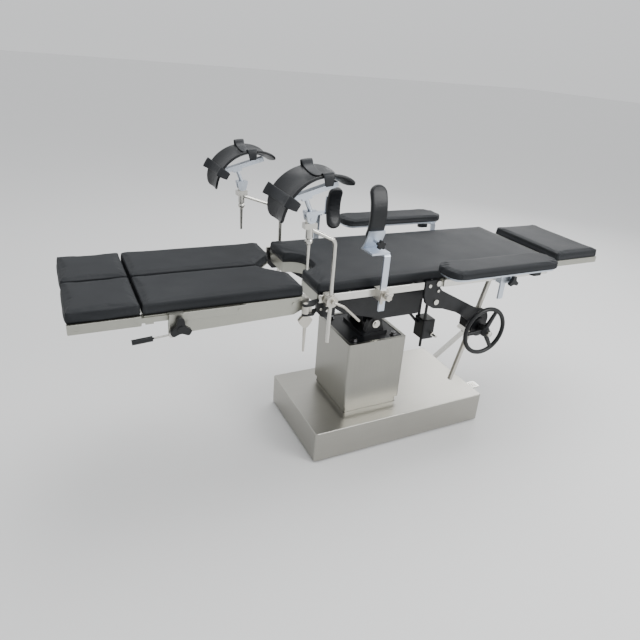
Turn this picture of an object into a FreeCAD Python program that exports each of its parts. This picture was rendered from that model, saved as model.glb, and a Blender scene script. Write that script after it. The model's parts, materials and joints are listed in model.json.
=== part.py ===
import FreeCAD, Part
import math
import os

# Operating table, side operated, with hydraulic column and mechanical back section.
# Millimetres. Origin on the floor under the middle of the base, +X towards the head end,
# +Z up. The operator's side, called near, is at negative Y; the other side is called far.

V = FreeCAD.Vector
os.makedirs("parts", exist_ok=True)

# Clearances
running_gap = 0.05          # radial, pin or shaft in its bore
side_gap = 0.3              # between faces that slide past each other
soft_gap = 0.3              # between a cushion and a moving neighbour

# Base
base_length = 830.0
base_width = 463.0
base_height = 139.0
base_floor_gap = 8.0
cover_sheet = 2.0
cover_corner = 9.0
base_channel_height = 36.0
base_channel_width = 40.0
foot_radius = 26.0
foot_height = 12.0
foot_stem_radius = 8.0
foot_inset_x = 62.0
foot_inset_y = 48.0
foot_plate_thickness = 12.0
door_clearance = 3.0        # round each pedal in its slot

# Column
column_x = -120.0
column_length = 268.0
column_width = 288.0
column_top = 460.0
column_skirt_z = 169.0
inner_cover_inset = 8.0
inner_cover_top = 418.0
cylinder_bore = 72.0
cylinder_wall = 13.0
cylinder_top = 420.0
ram_bottom = 115.0
rim_width = 12.0
head_plate_thickness = 12.0
bolt_spread_x = 92.0
bolt_spread_y = 106.0
bolt_head_radius = 12.0
bolt_head_height = 9.0

# Tilt joints on the column head
pitch_x = -104.0
pitch_z = 506.0
pitch_pin_radius = 12.0
lug_inner = 58.0
lug_thickness = 22.0
lug_radius = 26.0
yoke_flange = 12.0
roll_z = 552.0
roll_shaft_radius = 14.0
roll_boss_radius = 26.0
roll_boss_length = 24.0
leg_bearing_x = -190.0
head_bearing_x = -18.0

# Table top
table_half_width = 240.0
pad_top = 783.0
pad_thickness = 35.0
leg_pad_thickness = 38.0
pad_corner = 12.0
deck_thickness = 6.0
deck_inset = 4.0
frame_height = 30.0
frame_bar = 25.0
frame_inset = 3.0           # side bars behind the cushions' sides
rail_height = 28.0
rail_thickness = 8.0
rail_standoff = 17.0
rail_screw_radius = 6.0
rail_screw_recess = 2.0     # depth of each screw's counterbore
rail_drop = 12.0            # middle of the rail under the deck's top
spacer_radius = 8.0

# Stations along the table, from the leg end to the head end
foot_end_x = -1235.0
foot_seam_x = -1028.0
leg_end_x = -507.0
leg_cut_x = -585.0
leg_cut_y = 101.0
seat_end_x = -456.0
cutout_depth = 76.0
cutout_half_width = 88.0
cutout_corner = 62.0
seat_front_x = 45.0
back_hinge_x = 50.0
back_hinge_z = 734.0
hinge_ear = 13.0
back_pin_radius = 7.0
back_bar = 12.0
back_end_x = 650.0
head_hinge_x = 686.0
head_hinge_z = 728.0
head_start_x = 723.0
head_end_x = 983.0
head_half_width = 206.0
fold_half_length = 36.0     # mattress over the back hinge, each side of it

# Seat under-frame
keel_y = 154.0
keel_thickness = 8.0
apron_sheet = 3.0
apron_bottom = 700.0
bearing_plate = 10.0
keel_bottom_z = 568.0

# Hinge castings and back drive
casting_thickness = 12.0
wheel_x = 291.0
wheel_z = 513.0
wheel_standoff = 43.0       # middle of the rim in front of the castings
wheel_radius = 97.0
wheel_rim = 9.0
wheel_hub = 22.0
wheel_shaft = 10.0
drive_box_depth = 40.0
screw_bar = 16.0
screw_pin_x = 343.0
screw_pin_z = 722.0
screw_pin_radius = 6.0
screw_tail = 272.0
screw_slot = 33.0

# Leg hinge
fold_x = -543.0
fold_z = 721.0
fold_pin_radius = 8.0
knuckle_radius = 16.0
spindle_x = -509.0
spindle_radius = 8.0
sleeve_radius = 13.0
ear_thickness = 8.0
ear_low_z = 685.0
ear_high_z = 720.0
leg_plate = 3.0
leg_plate_outset = 2.0      # outer face of the side plate beyond the cushion
leg_plate_low = 673.0
leg_plate_radius = 38.0
leg_bracket_gap = 8.0       # hinge block inside the seat's side bar
slide_rod_radius = 8.0
slide_rod_inset = 37.0      # outer slide rod inside the side plate
clamp_x = -933.0
clamp_length = 44.0
foot_knob_z = 706.0

# Accessories
jaw_lip = 4.0
post_bar_width = 24.0
post_bar_thickness = 8.0
crutch_rod_radius = 7.0
crutch_offset = 27.0        # rod's axis in front of the rail's back
crutch_bend = 24.0
channel_slope = 16.8
channel_length = 168.0
channel_width = 26.0
channel_height = 16.0
saddle_radius = 130.0
saddle_half_width = 78.0
saddle_skin = 10.0
saddle_start = -88.0
saddle_sweep = 123.0
dish_radius = 190.0
strap_thickness = 3.0
strap_sweep = 12.0
strap_angles = (-66.0, -12.0)
support_pad_thickness = 22.0
support_pad_radius = 190.0
support_offset = 26.0       # flat post in front of the rail's back
support_setback = 28.3      # back of the pad inside the post
support_bracket = 7.0
support_width = 64.0
board_width = 140.0
board_length = 530.0
board_top = 836.0
board_pad_thickness = 30.0
board_plate_thickness = 8.0
board_offset = 84.0         # board's middle in front of the rail's back
arm_post_offset = 20.0
board_pivot_inset = 70.0

near = -1
far = 1
deck_top = pad_top - pad_thickness
frame_top = deck_top - deck_thickness
leg_deck_top = pad_top - leg_pad_thickness
leg_frame_top = leg_deck_top - deck_thickness
frame_half_width = table_half_width - frame_inset
rail_y = frame_half_width + rail_standoff
rail_z = deck_top - rail_drop
foot_rail_z = leg_deck_top - rail_drop
casting_y = frame_half_width + casting_thickness
wheel_y = -casting_y - wheel_standoff
spindle_y = casting_y + sleeve_radius
leg_plate_y = table_half_width + leg_plate_outset
leg_bracket_y = frame_half_width - frame_bar - leg_bracket_gap
crutch_y = rail_y + crutch_offset
support_y = rail_y + support_offset
support_reach = support_y - support_setback
arm_post_y = rail_y + arm_post_offset
slide_rod_lines = (slide_rod_inset - leg_plate_y, -45.0)
board_y = rail_y + board_offset
seam_gap = 1.5


# Basic forms

def block(x0, x1, y0, y1, z0, z1):
    low = V(min(x0, x1), min(y0, y1), min(z0, z1))
    return Part.makeBox(abs(x1 - x0), abs(y1 - y0), abs(z1 - z0), low)


def rod(start, end, radius):
    way = V(*end) - V(*start)
    return Part.makeCylinder(radius, way.Length, V(*start), way)


def rod_y(x, z, y0, y1, radius):
    return rod((x, y0, z), (x, y1, z), radius)


def rod_z(x, y, z0, z1, radius):
    return rod((x, y, z0), (x, y, z1), radius)


def fuse(*shapes):
    whole = shapes[0]
    if len(shapes) > 1:
        whole = whole.fuse(list(shapes[1:]))
    return whole.removeSplitter()


def group(*shapes):
    return Part.Compound(list(shapes))


def rounded_wire(corners):
    """Closed wire through 3-D corners, each given as (point, radius)."""
    count = len(corners)
    starts = []
    ends = []
    middles = []
    for i in range(count):
        before = corners[i - 1][0]
        here, radius = corners[i]
        after = corners[(i + 1) % count][0]
        back = (before - here).normalize()
        on = (after - here).normalize()
        half = math.acos(max(-1.0, min(1.0, back.dot(on)))) / 2
        if radius < 0.01:
            starts.append(here)
            ends.append(here)
            middles.append(None)
            continue
        reach = radius / math.tan(half)
        starts.append(here + back * reach)
        ends.append(here + on * reach)
        inward = (back + on).normalize()
        middles.append(here + inward * (radius / math.sin(half) - radius))
    edges = []
    for i in range(count):
        if middles[i] is not None:
            edges.append(Part.Arc(starts[i], middles[i], ends[i]).toShape())
        onward = starts[(i + 1) % count]
        if (onward - ends[i]).Length > 1e-4:
            edges.append(Part.LineSegment(ends[i], onward).toShape())
    return Part.Wire(edges)


def plate(plane, points, low, high):
    """Flat plate: points are (a, b) or (a, b, corner radius) in the named plane."""
    def place(a, b):
        if plane == "xz":
            return V(a, low, b)
        if plane == "xy":
            return V(a, b, low)
        return V(low, a, b)
    corners = []
    for point in points:
        radius = point[2] if len(point) > 2 else 0.0
        corners.append((place(point[0], point[1]), radius))
    grow = {"xz": V(0, high - low, 0), "xy": V(0, 0, high - low), "yz": V(high - low, 0, 0)}
    return Part.Face(rounded_wire(corners)).extrude(grow[plane])


def slab(x0, x1, y0, y1, z0, z1, corner):
    points = [(x0, y0, corner), (x1, y0, corner), (x1, y1, corner), (x0, y1, corner)]
    return plate("xy", points, z0, z1)


def mirrored(shape):
    return shape.mirror(V(0, 0, 0), V(0, 1, 0))


def for_side(side, near_shape):
    return near_shape if side == near else mirrored(near_shape)


def bent_rod(points, radius, bend):
    """Round rod through points, with the same bend radius at each inner one."""
    path = []
    at = V(*points[0])
    for i in range(1, len(points) - 1):
        here = V(*points[i])
        back = (V(*points[i - 1]) - here).normalize()
        on = (V(*points[i + 1]) - here).normalize()
        half = math.acos(back.dot(on)) / 2
        reach = bend / math.tan(half)
        inward = (back + on).normalize()
        middle = here + inward * (bend / math.sin(half) - bend)
        path.append(Part.LineSegment(at, here + back * reach).toShape())
        path.append(Part.Arc(here + back * reach, middle, here + on * reach).toShape())
        at = here + on * reach
    path.append(Part.LineSegment(at, V(*points[-1])).toShape())
    first = V(*points[0])
    way = V(*points[1]) - first
    ring = Part.Wire(Part.Circle(first, way, radius).toShape())
    return Part.Wire(path).makePipeShell([ring], True, False)


def hexagon(x, y, z0, z1, radius):
    points = []
    for i in range(6):
        turn = math.radians(60 * i)
        points.append((x + radius * math.cos(turn), y + radius * math.sin(turn)))
    return plate("xy", points, z0, z1)


def turned(shape, centre, axis, degrees):
    copy = shape.copy()
    copy.rotate(V(*centre), V(*axis), degrees)
    return copy


nodes = {}


# Base

base_x = base_length / 2
base_y = base_width / 2
base_under = base_height - cover_sheet
inner_half_x = column_length / 2 - inner_cover_inset
inner_half_y = column_width / 2 - inner_cover_inset
foot_plate_z = foot_height + 16.0 + base_channel_height
pump_y = 145.0
pump_pivot = (base_x - 85.0, 55.0)
pump_slope = 36.6
pump_arm_length = 340.0
pump_arm_bar = 18.0
release_y = -135.0
release_pivot = (base_x - 43.0, 118.0)
release_reach = 98.0
release_width = 46.0


def base_cover():
    outer = slab(-base_x, base_x, -base_y, base_y, base_floor_gap, base_height, cover_corner)
    top_edges = [e for e in outer.Edges if all(abs(v.Z - base_height) < 0.01 for v in e.Vertexes)]
    outer = outer.makeFillet(3.0, top_edges)
    inside = slab(cover_sheet - base_x, base_x - cover_sheet, cover_sheet - base_y,
                  base_y - cover_sheet, base_floor_gap - 1, base_under, cover_corner - cover_sheet)
    well = block(column_x - inner_half_x - 1, column_x + inner_half_x + 1,
                 -inner_half_y - 1, inner_half_y + 1, base_under - 1, base_height + 1)
    half = pump_arm_bar / 2 + door_clearance
    pump_slot = block(base_x - 15, base_x + 1, pump_y - half, pump_y + half, 52, 134)
    half = release_width / 4 + door_clearance
    release_slot = block(base_x - 15, base_x + 1, release_y - half, release_y + half, 100, 132)
    return outer.cut([inside, well, pump_slot, release_slot])


def base_frame():
    low = foot_height + 16.0
    high = low + base_channel_height
    wall_x = base_x - cover_sheet
    wall_y = base_y - cover_sheet
    runner_y = base_y - foot_inset_y
    bars = []
    for side in (near, far):
        y = side * runner_y
        half = base_channel_width / 2
        bars.append(block(base_channel_width - wall_x, wall_x - base_channel_width,
                          y - half, y + half, low, high))
        bars.append(block(side * wall_x, side * (wall_x - base_channel_width),
                          12 - wall_y, wall_y - 12, low, high))
    for x in (column_x - inner_half_x + 20, column_x + inner_half_x - 20):
        bars.append(block(x - 20, x + 20, -runner_y, runner_y, low, high))
    bars.append(block(column_x - inner_half_x - 6, column_x + inner_half_x + 6,
                      -inner_half_y - 6, inner_half_y + 6, high, high + foot_plate_thickness))
    x, z = pump_pivot
    cheek = lug_thickness / 2
    for y in (pump_y - pump_arm_bar / 2 - side_gap - cheek, pump_y + pump_arm_bar / 2 + side_gap):
        bars.append(plate("xz", [(x - 26, low), (x + 26, low), (x + 16, z + 16, 12), (x - 16, z + 16, 12)],
                          y, y + cheek))
    bars.append(block(x - 26, wall_x - 30, pump_y - 30, pump_y + 30, low, low + 8))
    half = pump_arm_bar / 2 + door_clearance
    notch = block(x + 30, wall_x + 1, pump_y - half, pump_y + half, low + 12, high + 1)
    frame = fuse(*bars).cut(notch)
    pin = rod_y(x, z, pump_y - 22, pump_y + 22, 7 - running_gap)
    frame = frame.cut(rod_y(x, z, pump_y - 40, pump_y + 40, 7 - running_gap))
    x, z = release_pivot
    posts = []
    for side in (near, far):
        y = release_y + side * (release_width / 4 + side_gap + 3)
        posts.append(block(x - 9, x + 9, y - 3, y + 3, high - 8, z + 8))
    carrier = block(x - 12, wall_x - 2, release_y - 24, release_y + 24, high - 8, high)
    release_pin = rod_y(x, z, release_y - 18, release_y + 18, 4 - running_gap)
    posts = fuse(carrier, *posts).cut(rod_y(x, z, release_y - 40, release_y + 40, 4 - running_gap))
    return group(fuse(frame, posts), pin, release_pin)


def levelling_feet():
    feet = []
    for x in (foot_inset_x - base_x, base_x - foot_inset_x):
        for y in (foot_inset_y - base_y, base_y - foot_inset_y):
            disc = Part.makeCone(foot_radius, foot_radius - 8, foot_height, V(x, y, 0))
            stem = rod_z(x, y, foot_height, foot_height + 16.0, foot_stem_radius)
            feet.append(fuse(disc, stem))
    return group(*feet)


def square_tube(half_x, half_y, wall, z0, z1, corner):
    outer = slab(column_x - half_x, column_x + half_x, -half_y, half_y, z0, z1, corner)
    inner = slab(column_x - half_x + wall, column_x + half_x - wall, wall - half_y,
                 half_y - wall, z0 - 1, z1 + 1, corner - wall)
    return outer.cut(inner)


def hydraulic_cylinder():
    radius = cylinder_bore / 2
    z = foot_plate_z + foot_plate_thickness
    barrel = rod_z(column_x, 0, z, cylinder_top, radius + cylinder_wall)
    flange = rod_z(column_x, 0, z, z + 14, radius + cylinder_wall + 22)
    gland = rod_z(column_x, 0, cylinder_top - 26, cylinder_top, radius + cylinder_wall + 5)
    bore = rod_z(column_x, 0, z + 12, cylinder_top + 1, radius)
    return fuse(barrel, flange, gland).cut(bore)


def pump_pedal():
    x, z = pump_pivot
    half = pump_arm_bar / 2
    arm = block(x, x + pump_arm_length, pump_y - half, pump_y + half, z - half, z + half)
    hub = rod_y(x, z, pump_y - half, pump_y + half, 14)
    cross = rod_y(x + pump_arm_length, z, pump_y - 44, pump_y + 44, 8)
    pedal = fuse(arm, hub, cross).cut(rod_y(x, z, pump_y - 20, pump_y + 20, 7))
    tread = slab(x + pump_arm_length - 22, x + pump_arm_length + 26, pump_y - 44, pump_y + 44,
                 z + half, z + half + 9, 6)
    ribs = [block(x + pump_arm_length - 16 + 9 * i, x + pump_arm_length - 12 + 9 * i,
                  pump_y - 38, pump_y + 38, z + half + 7, z + half + 11) for i in range(5)]
    whole = group(pedal, fuse(tread, *ribs))
    return turned(whole, (x, pump_y, z), (0, 1, 0), -pump_slope)


def release_pedal():
    x, z = release_pivot
    half = release_width / 4
    hub = rod_y(x, z, release_y - half, release_y + half, 7)
    arm = block(x, x + release_reach - 30, release_y - half, release_y + half, z - 4, z + 4)
    pad = slab(x + release_reach - 46, x + release_reach, release_y - release_width / 2,
               release_y + release_width / 2, z + 4, z + 9, 8)
    ribs = [block(x + release_reach - 38 + 8 * i, x + release_reach - 35 + 8 * i, release_y - 17,
                  release_y + 17, z + 9, z + 10.5) for i in range(4)]
    pedal = fuse(hub, arm, pad, *ribs)
    return pedal.cut(rod_y(x, z, release_y - 20, release_y + 20, 4))


nodes["base_cover"] = base_cover()
nodes["base_frame"] = base_frame()
nodes["levelling_feet"] = levelling_feet()
nodes["inner_column_cover"] = square_tube(inner_half_x, inner_half_y, cover_sheet,
                                          foot_plate_z + foot_plate_thickness, inner_cover_top, 8)
nodes["hydraulic_cylinder"] = hydraulic_cylinder()
nodes["pump_pedal"] = pump_pedal()
nodes["release_pedal"] = release_pedal()


# Lifting column

head_plate_top = column_top - cover_sheet


def outer_column_cover():
    tube = square_tube(column_length / 2, column_width / 2, cover_sheet, column_skirt_z, column_top, 8)
    lip = square_tube(column_length / 2 - cover_sheet / 2, column_width / 2 - cover_sheet / 2,
                      rim_width, column_top - cover_sheet, column_top, 14)
    hem = square_tube(column_length / 2 - cover_sheet / 2, column_width / 2 - cover_sheet / 2,
                      3.5, column_skirt_z, column_skirt_z + 14, 6)
    return fuse(tube, lip, hem)


def column_head():
    half_x = column_length / 2 - cover_sheet - 0.5
    half_y = column_width / 2 - cover_sheet - 0.5
    top = slab(column_x - half_x, column_x + half_x, -half_y, half_y,
               head_plate_top - head_plate_thickness, head_plate_top, 5)
    flange = slab(pitch_x - 62, pitch_x + 62, -88, 88, head_plate_top,
                  head_plate_top + yoke_flange, 12)
    lugs = []
    for side in (near, far):
        low = lug_inner if side == far else -lug_inner - lug_thickness
        cheek = plate("xz", [(pitch_x - 46, head_plate_top), (pitch_x + 46, head_plate_top),
                             (pitch_x + lug_radius, pitch_z + lug_radius, lug_radius - 1),
                             (pitch_x - lug_radius, pitch_z + lug_radius, lug_radius - 1)],
                      low, low + lug_thickness)
        lugs.append(cheek)
    casting = fuse(top, flange, *lugs)
    pin_way = rod_y(pitch_x, pitch_z, -120, 120, pitch_pin_radius)
    return casting.cut(pin_way)


def column_bolts():
    bolts = []
    for x in (column_x - bolt_spread_x, column_x + bolt_spread_x):
        for y in (-bolt_spread_y, bolt_spread_y):
            washer = rod_z(x, y, head_plate_top, head_plate_top + 2, bolt_head_radius + 3)
            head = hexagon(x, y, head_plate_top + 2, head_plate_top + 2 + bolt_head_height,
                           bolt_head_radius)
            bolts.append(fuse(washer, head))
    return group(*bolts)


nodes["outer_column_cover"] = outer_column_cover()
nodes["column_head"] = column_head()
nodes["column_bolts"] = column_bolts()
nodes["lift_ram"] = rod_z(column_x, 0, ram_bottom, head_plate_top - head_plate_thickness,
                          cylinder_bore / 2 - running_gap)


# Tilt cross between the column and the seat frame

def cross_block():
    drum = rod_y(pitch_x, pitch_z, side_gap - lug_inner, lug_inner - side_gap, lug_radius - 2)
    body = plate("xz", [(pitch_x - 38, pitch_z - 4), (pitch_x + 38, pitch_z - 4),
                        (pitch_x + 38, roll_z + 28, 8), (pitch_x - 38, roll_z + 28, 8)], -40, 40)
    pin_way = rod_y(pitch_x, pitch_z, -120, 120, pitch_pin_radius - running_gap)
    shaft = rod((leg_bearing_x - 22, 0, roll_z), (head_bearing_x + 22, 0, roll_z),
                roll_shaft_radius - running_gap)
    collars = []
    for x, way in ((leg_bearing_x, 1), (head_bearing_x, -1)):
        inner = x + way * (roll_boss_length / 2 + side_gap)
        collars.append(rod((inner, 0, roll_z), (inner + way * 8, 0, roll_z), roll_shaft_radius + 8))
    return fuse(drum, body, shaft, *collars).cut(pin_way)


def pitch_pin():
    reach = lug_inner + lug_thickness
    pin = rod_y(pitch_x, pitch_z, -reach - side_gap, reach + side_gap, pitch_pin_radius - running_gap)
    heads = []
    for side in (near, far):
        heads.append(rod_y(pitch_x, pitch_z, side * (reach + side_gap), side * (reach + 8), 17))
        heads.append(rod_y(pitch_x, pitch_z, side * (reach + 8), side * (reach + 13), 9))
    return fuse(pin, *heads)


nodes["cross_block"] = cross_block()
nodes["pitch_pin"] = pitch_pin()


# Seat section

def seat_outline(inset):
    """Plan of the seat with its cut-out at the leg end, drawn in by the inset."""
    half = table_half_width - inset
    end = seat_end_x + inset
    mouth = cutout_half_width + inset
    deep = seat_end_x + cutout_depth + inset
    front = back_hinge_x - fold_half_length
    curve = cutout_corner
    return [(end, -half, 10), (front, -half, 4), (front, half, 4), (end, half, 10),
            (end, mouth, 6), (deep, mouth - 12, curve), (deep, 12 - mouth, curve), (end, -mouth, 6)]


def seat_frame():
    low = frame_top - frame_height
    inner = frame_half_width - frame_bar
    parts = []
    for side in (near, far):
        y = side * frame_half_width
        parts.append(block(seat_end_x + apron_sheet + 3, back_hinge_x - hinge_ear - 8, y,
                           y - side * frame_bar, low, frame_top))
        keel = [(-396, low), (-396, low - 36, 10), (-306, low - 96, 30),
                (-136, keel_bottom_z, 20), (seat_front_x, keel_bottom_z, 10), (seat_front_x, low)]
        y0 = side * keel_y - keel_thickness / 2
        parts.append(plate("xz", keel, y0, y0 + keel_thickness))
    for x in (seat_end_x + cutout_depth + 26, leg_bearing_x, head_bearing_x, seat_front_x - 15):
        parts.append(block(x - 14, x + 14, -inner, inner, low, frame_top))
    for x in (leg_bearing_x, head_bearing_x):
        half = bearing_plate / 2
        web = [(-keel_y, low), (-keel_y, 640), (-60, roll_z + 14, 30), (0, roll_z - 6),
               (60, roll_z + 14, 30), (keel_y, 640), (keel_y, low)]
        parts.append(plate("yz", web, x - half, x + half))
        parts.append(rod((x - roll_boss_length / 2, 0, roll_z), (x + roll_boss_length / 2, 0, roll_z),
                         roll_boss_radius))
    parts.append(plate("xy", [(p[0], p[1], p[2]) for p in seat_outline(deck_inset)], frame_top, deck_top))
    frame = fuse(*parts)
    bore = rod((leg_bearing_x - 40, 0, roll_z), (head_bearing_x + 40, 0, roll_z), roll_shaft_radius)
    return frame.cut(bore)


def seat_end_apron():
    outer = plate("xy", seat_outline(deck_inset - 1), apron_bottom, frame_top)
    inner = plate("xy", seat_outline(deck_inset - 1 + apron_sheet), apron_bottom - 1, frame_top + 1)
    keep = block(seat_end_x - 5, -394, -400, 400, apron_bottom, frame_top)
    keep = fuse(keep, block(-394, -350, -95, 95, apron_bottom, frame_top))
    cleared = []
    for side in (near, far):
        y = side * frame_half_width
        cleared.append(block(seat_end_x + apron_sheet + 3, seat_front_x, y + side, y - side * frame_bar,
                             apron_bottom - 2, frame_top + 2))
    return outer.cut(inner).common(keep).cut(cleared)


def rail(x0, x1, side, stations, z=rail_z):
    """Accessory rail with its spacers and screws, on one side of a frame."""
    y = side * rail_y
    half = rail_height / 2
    bar = plate("yz", [(y, z - half, 1.5), (y + side * rail_thickness, z - half, 1.5),
                       (y + side * rail_thickness, z + half, 1.5), (y, z + half, 1.5)], x0, x1)
    solids = []
    recess = y + side * (rail_thickness - rail_screw_recess)
    for x in stations:
        solids.append(rod_y(x, z, side * frame_half_width, y, spacer_radius))
        solids.append(rod_y(x, z, recess, y + side * (rail_thickness - side_gap), rail_screw_radius))
        bar = bar.cut(rod_y(x, z, recess, y + side * (rail_thickness + 1), rail_screw_radius + side_gap))
    return [bar] + solids


def seat_rails():
    solids = []
    for side in (near, far):
        solids += rail(-460, -27, side, (-330, -180, -60))
    return group(*solids)


def hinge_castings():
    top = deck_top - soft_gap
    x, z = back_hinge_x, back_hinge_z
    from_wheel = [(-13, 81, 20), (9, 47, 10), (-21, 7, 10), (-98, 64, 20), (-133, 84, 40)]
    from_hinge = [(38, -112, 40), (-10, -104, 30), (-46, -82, 20), (-60, -44, 10)]
    gooseneck = plate("xz", [(x - 60, top), (x + 10, top, 3), (x + 10, z - 18, 14), (x + 24, z - 34, 10)]
                      + [(wheel_x + a, wheel_z + b, r) for a, b, r in from_wheel]
                      + [(x + a, z + b, r) for a, b, r in from_hinge],
                      -casting_y, -frame_half_width)
    boss = rod_y(wheel_x - 7, wheel_z + 29, -casting_y, -frame_half_width, 54)
    gooseneck = fuse(gooseneck, boss).cut(rod_y(wheel_x, wheel_z, -casting_y - 1, 1 - frame_half_width, 24))
    plain = plate("xz", [(x - 60, top), (x + 10, top, 3), (x + 10, z - 44, 20), (x - 14, z - 94, 20),
                         (x - 60, z - 94, 20)],
                  frame_half_width, casting_y)
    castings = [gooseneck, plain]
    castings = [c.cut(rod_y(back_hinge_x, back_hinge_z, -300, 300, back_pin_radius)) for c in castings]
    for side in (near, far):
        lug = plate("xz", [(-462, ear_low_z), (-440, 662, 8), (-389, 662, 8), (-389, ear_high_z + 8, 3),
                           (-462, ear_high_z + 8)], -casting_y, -frame_half_width)
        ears = []
        for z in (ear_low_z, ear_high_z):
            web = plate("xy", [(spindle_x, -spindle_y - sleeve_radius), (-484, -spindle_y - sleeve_radius, 8),
                               (-462, -casting_y), (-462, -frame_half_width),
                               (spindle_x + 12, -spindle_y + sleeve_radius + 2),
                               (spindle_x, -spindle_y + sleeve_radius)], z, z + ear_thickness)
            eye = rod_z(spindle_x, -spindle_y, z, z + ear_thickness, sleeve_radius)
            ears.append(fuse(web, eye))
        lug = fuse(lug, *ears).cut(rod_z(spindle_x, -spindle_y, 600, 800, spindle_radius))
        castings.append(for_side(side, lug))
    return group(*castings)


def frame_bolts():
    solids = []
    for side in (near, far):
        y = side * casting_y
        pivot = rod_y(back_hinge_x, back_hinge_z, side * (frame_half_width - 24), y,
                      back_pin_radius - running_gap)
        head = rod_y(back_hinge_x, back_hinge_z, y, y + side * 5, 11)
        solids.append(fuse(pivot, head))
        if side == near:
            solids.append(rod_y(back_hinge_x + 2, back_hinge_z - 31, y, y - 5, 5.5))
            solids.append(rod_y(back_hinge_x, back_hinge_z - 78, y, y - 5, 11))
        solids.append(rod_y(back_hinge_x - 40, back_hinge_z - 7, y, y + side * 4, 7))
        for x, z in ((-446, 693), (-421, 684)):
            solids.append(rod_y(x, z, y, y + side * 2.5, 5))
        keel_face = side * (keel_y + keel_thickness / 2)
        solids.append(rod_y(-104, 668, keel_face, keel_face + side * 6, 12))
    return group(*solids)


gear_x = 120.0
gear_y = -115.0
gear_low = 434.0
gear_high = 520.0
hanger_z = 625.0


def tilt_gearbox():
    box = slab(gear_x - 30, gear_x + 30, gear_y - 35, gear_y + 35, gear_low, gear_high, 8)
    box = box.makeFillet(5.0, [e for e in box.Edges if all(abs(v.Z - gear_high) < 0.01 for v in e.Vertexes)])
    hanger = slab(seat_front_x - 4, gear_x + 34, -keel_y + keel_thickness / 2, gear_y + 38,
                  hanger_z, hanger_z + 14, 6)
    web = plate("xz", [(seat_front_x, hanger_z + 14), (gear_x, hanger_z + 14, 6), (seat_front_x, 700)],
                -keel_y + keel_thickness / 2, -keel_y + keel_thickness / 2 + 8)
    foot = block(seat_front_x - 30, seat_front_x, -keel_y + keel_thickness / 2,
                 -keel_y + keel_thickness / 2 + 8, hanger_z, 700)
    bracket = fuse(hanger, web, foot)
    rods = []
    for y in (gear_y - 22, gear_y + 22):
        rods.append(rod_z(gear_x - 20, y, gear_high, hanger_z, 6))
    tail = rod_z(gear_x, gear_y + 8, gear_low - 58, gear_low, 6)
    # the sloping drive rod ends flat on the bearing plate
    plate_face = head_bearing_x + bearing_plate / 2
    drive_y = gear_y + 15
    drive = rod((plate_face - 10, drive_y, roll_z + 62), (gear_x - 30, drive_y, gear_high - 26), 6)
    drive = drive.cut(block(plate_face - 30, plate_face, drive_y - 20, drive_y + 20, roll_z, frame_top))
    return group(box, bracket, tail, drive, *rods)


crank_x = gear_x + 16.0
crank_z = gear_low + 22.0


def tilt_crank():
    face = gear_y - 35.0
    collar = rod_y(crank_x, crank_z, face - 8, face - side_gap, 9)
    stub = rod_y(crank_x, crank_z, face - 34, face - 8, 5)
    cross = rod((crank_x - 8, face - 28, crank_z), (crank_x + 8, face - 28, crank_z), 2)
    return fuse(collar, stub, cross)


nodes["seat_frame"] = seat_frame()
nodes["seat_end_apron"] = seat_end_apron()
nodes["seat_rails"] = seat_rails()
nodes["hinge_castings"] = hinge_castings()
nodes["frame_bolts"] = frame_bolts()
nodes["tilt_gearbox"] = tilt_gearbox()
nodes["tilt_crank"] = tilt_crank()
nodes["seat_pad"] = plate("xy", seat_outline(0), deck_top, pad_top)


# Back section

screw_angle = math.degrees(math.atan2(screw_pin_z - wheel_z, screw_pin_x - wheel_x))
screw_y = -frame_half_width + 1 + drive_box_depth / 2 + 2
screw_fork = screw_bar / 2 + side_gap


def back_frame():
    low = frame_top - frame_height
    inner = frame_half_width - back_bar
    parts = []
    for side in (near, far):
        y = side * (frame_half_width - 0.5)
        parts.append(block(back_hinge_x + 14, back_end_x - 8, y, y - side * back_bar, low, frame_top))
        ear = plate("xz", [(back_hinge_x - hinge_ear, back_hinge_z - hinge_ear, hinge_ear - 0.1),
                           (back_hinge_x + 30, back_hinge_z - hinge_ear), (back_hinge_x + 30, deck_top - 2),
                           (back_hinge_x - hinge_ear, deck_top - 2, 10)],
                    min(y, y - side * back_bar), max(y, y - side * back_bar))
        parts.append(ear.cut(rod_y(back_hinge_x, back_hinge_z, -300, 300, back_pin_radius)))
    for x in (back_hinge_x + 68, screw_pin_x + 24, 500, back_end_x - 22):
        parts.append(block(x - 12, x + 12, -inner, inner, low, frame_top))
    parts.append(slab(back_hinge_x + fold_half_length + deck_inset, back_end_x - deck_inset,
                      deck_inset - table_half_width, table_half_width - deck_inset,
                      frame_top, deck_top, 6))
    for side in (near, far):
        y = screw_y + side * screw_fork
        cheek = plate("xz", [(screw_pin_x - 14, frame_top), (screw_pin_x - 12, screw_pin_z - 13, 12),
                             (screw_pin_x + 12, screw_pin_z - 13, 12), (screw_pin_x + 14, frame_top)],
                      min(y, y + side * 6), max(y, y + side * 6))
        parts.append(cheek)
    for y in (-120, 120):
        for way in (-1, 1):
            inner_y = y + way * 6.3
            ear = plate("xz", [(back_end_x - 34, low), (head_hinge_x + 14, low, 13.9),
                               (head_hinge_x + 14, frame_top, 13.9), (back_end_x - 34, frame_top)],
                        min(inner_y, inner_y + way * 10), max(inner_y, inner_y + way * 10))
            parts.append(ear)
    bores = [rod_y(screw_pin_x, screw_pin_z, screw_y - 30, screw_y + 30, screw_pin_radius - running_gap),
             rod_y(head_hinge_x, head_hinge_z, -160, 160, 7 - running_gap)]
    frame = fuse(*parts).cut(bores)
    pins = [rod_y(screw_pin_x, screw_pin_z, screw_y - 16, screw_y + 16, screw_pin_radius - running_gap)]
    for y in (-120, 120):
        pins.append(rod_y(head_hinge_x, head_hinge_z, y - 20, y + 20, 7 - running_gap))
    return group(frame, *pins)


def back_rails():
    solids = []
    for side in (near, far):
        solids += rail(66, 612, side, (100, 300, 500, 590))
    return group(*solids)


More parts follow.
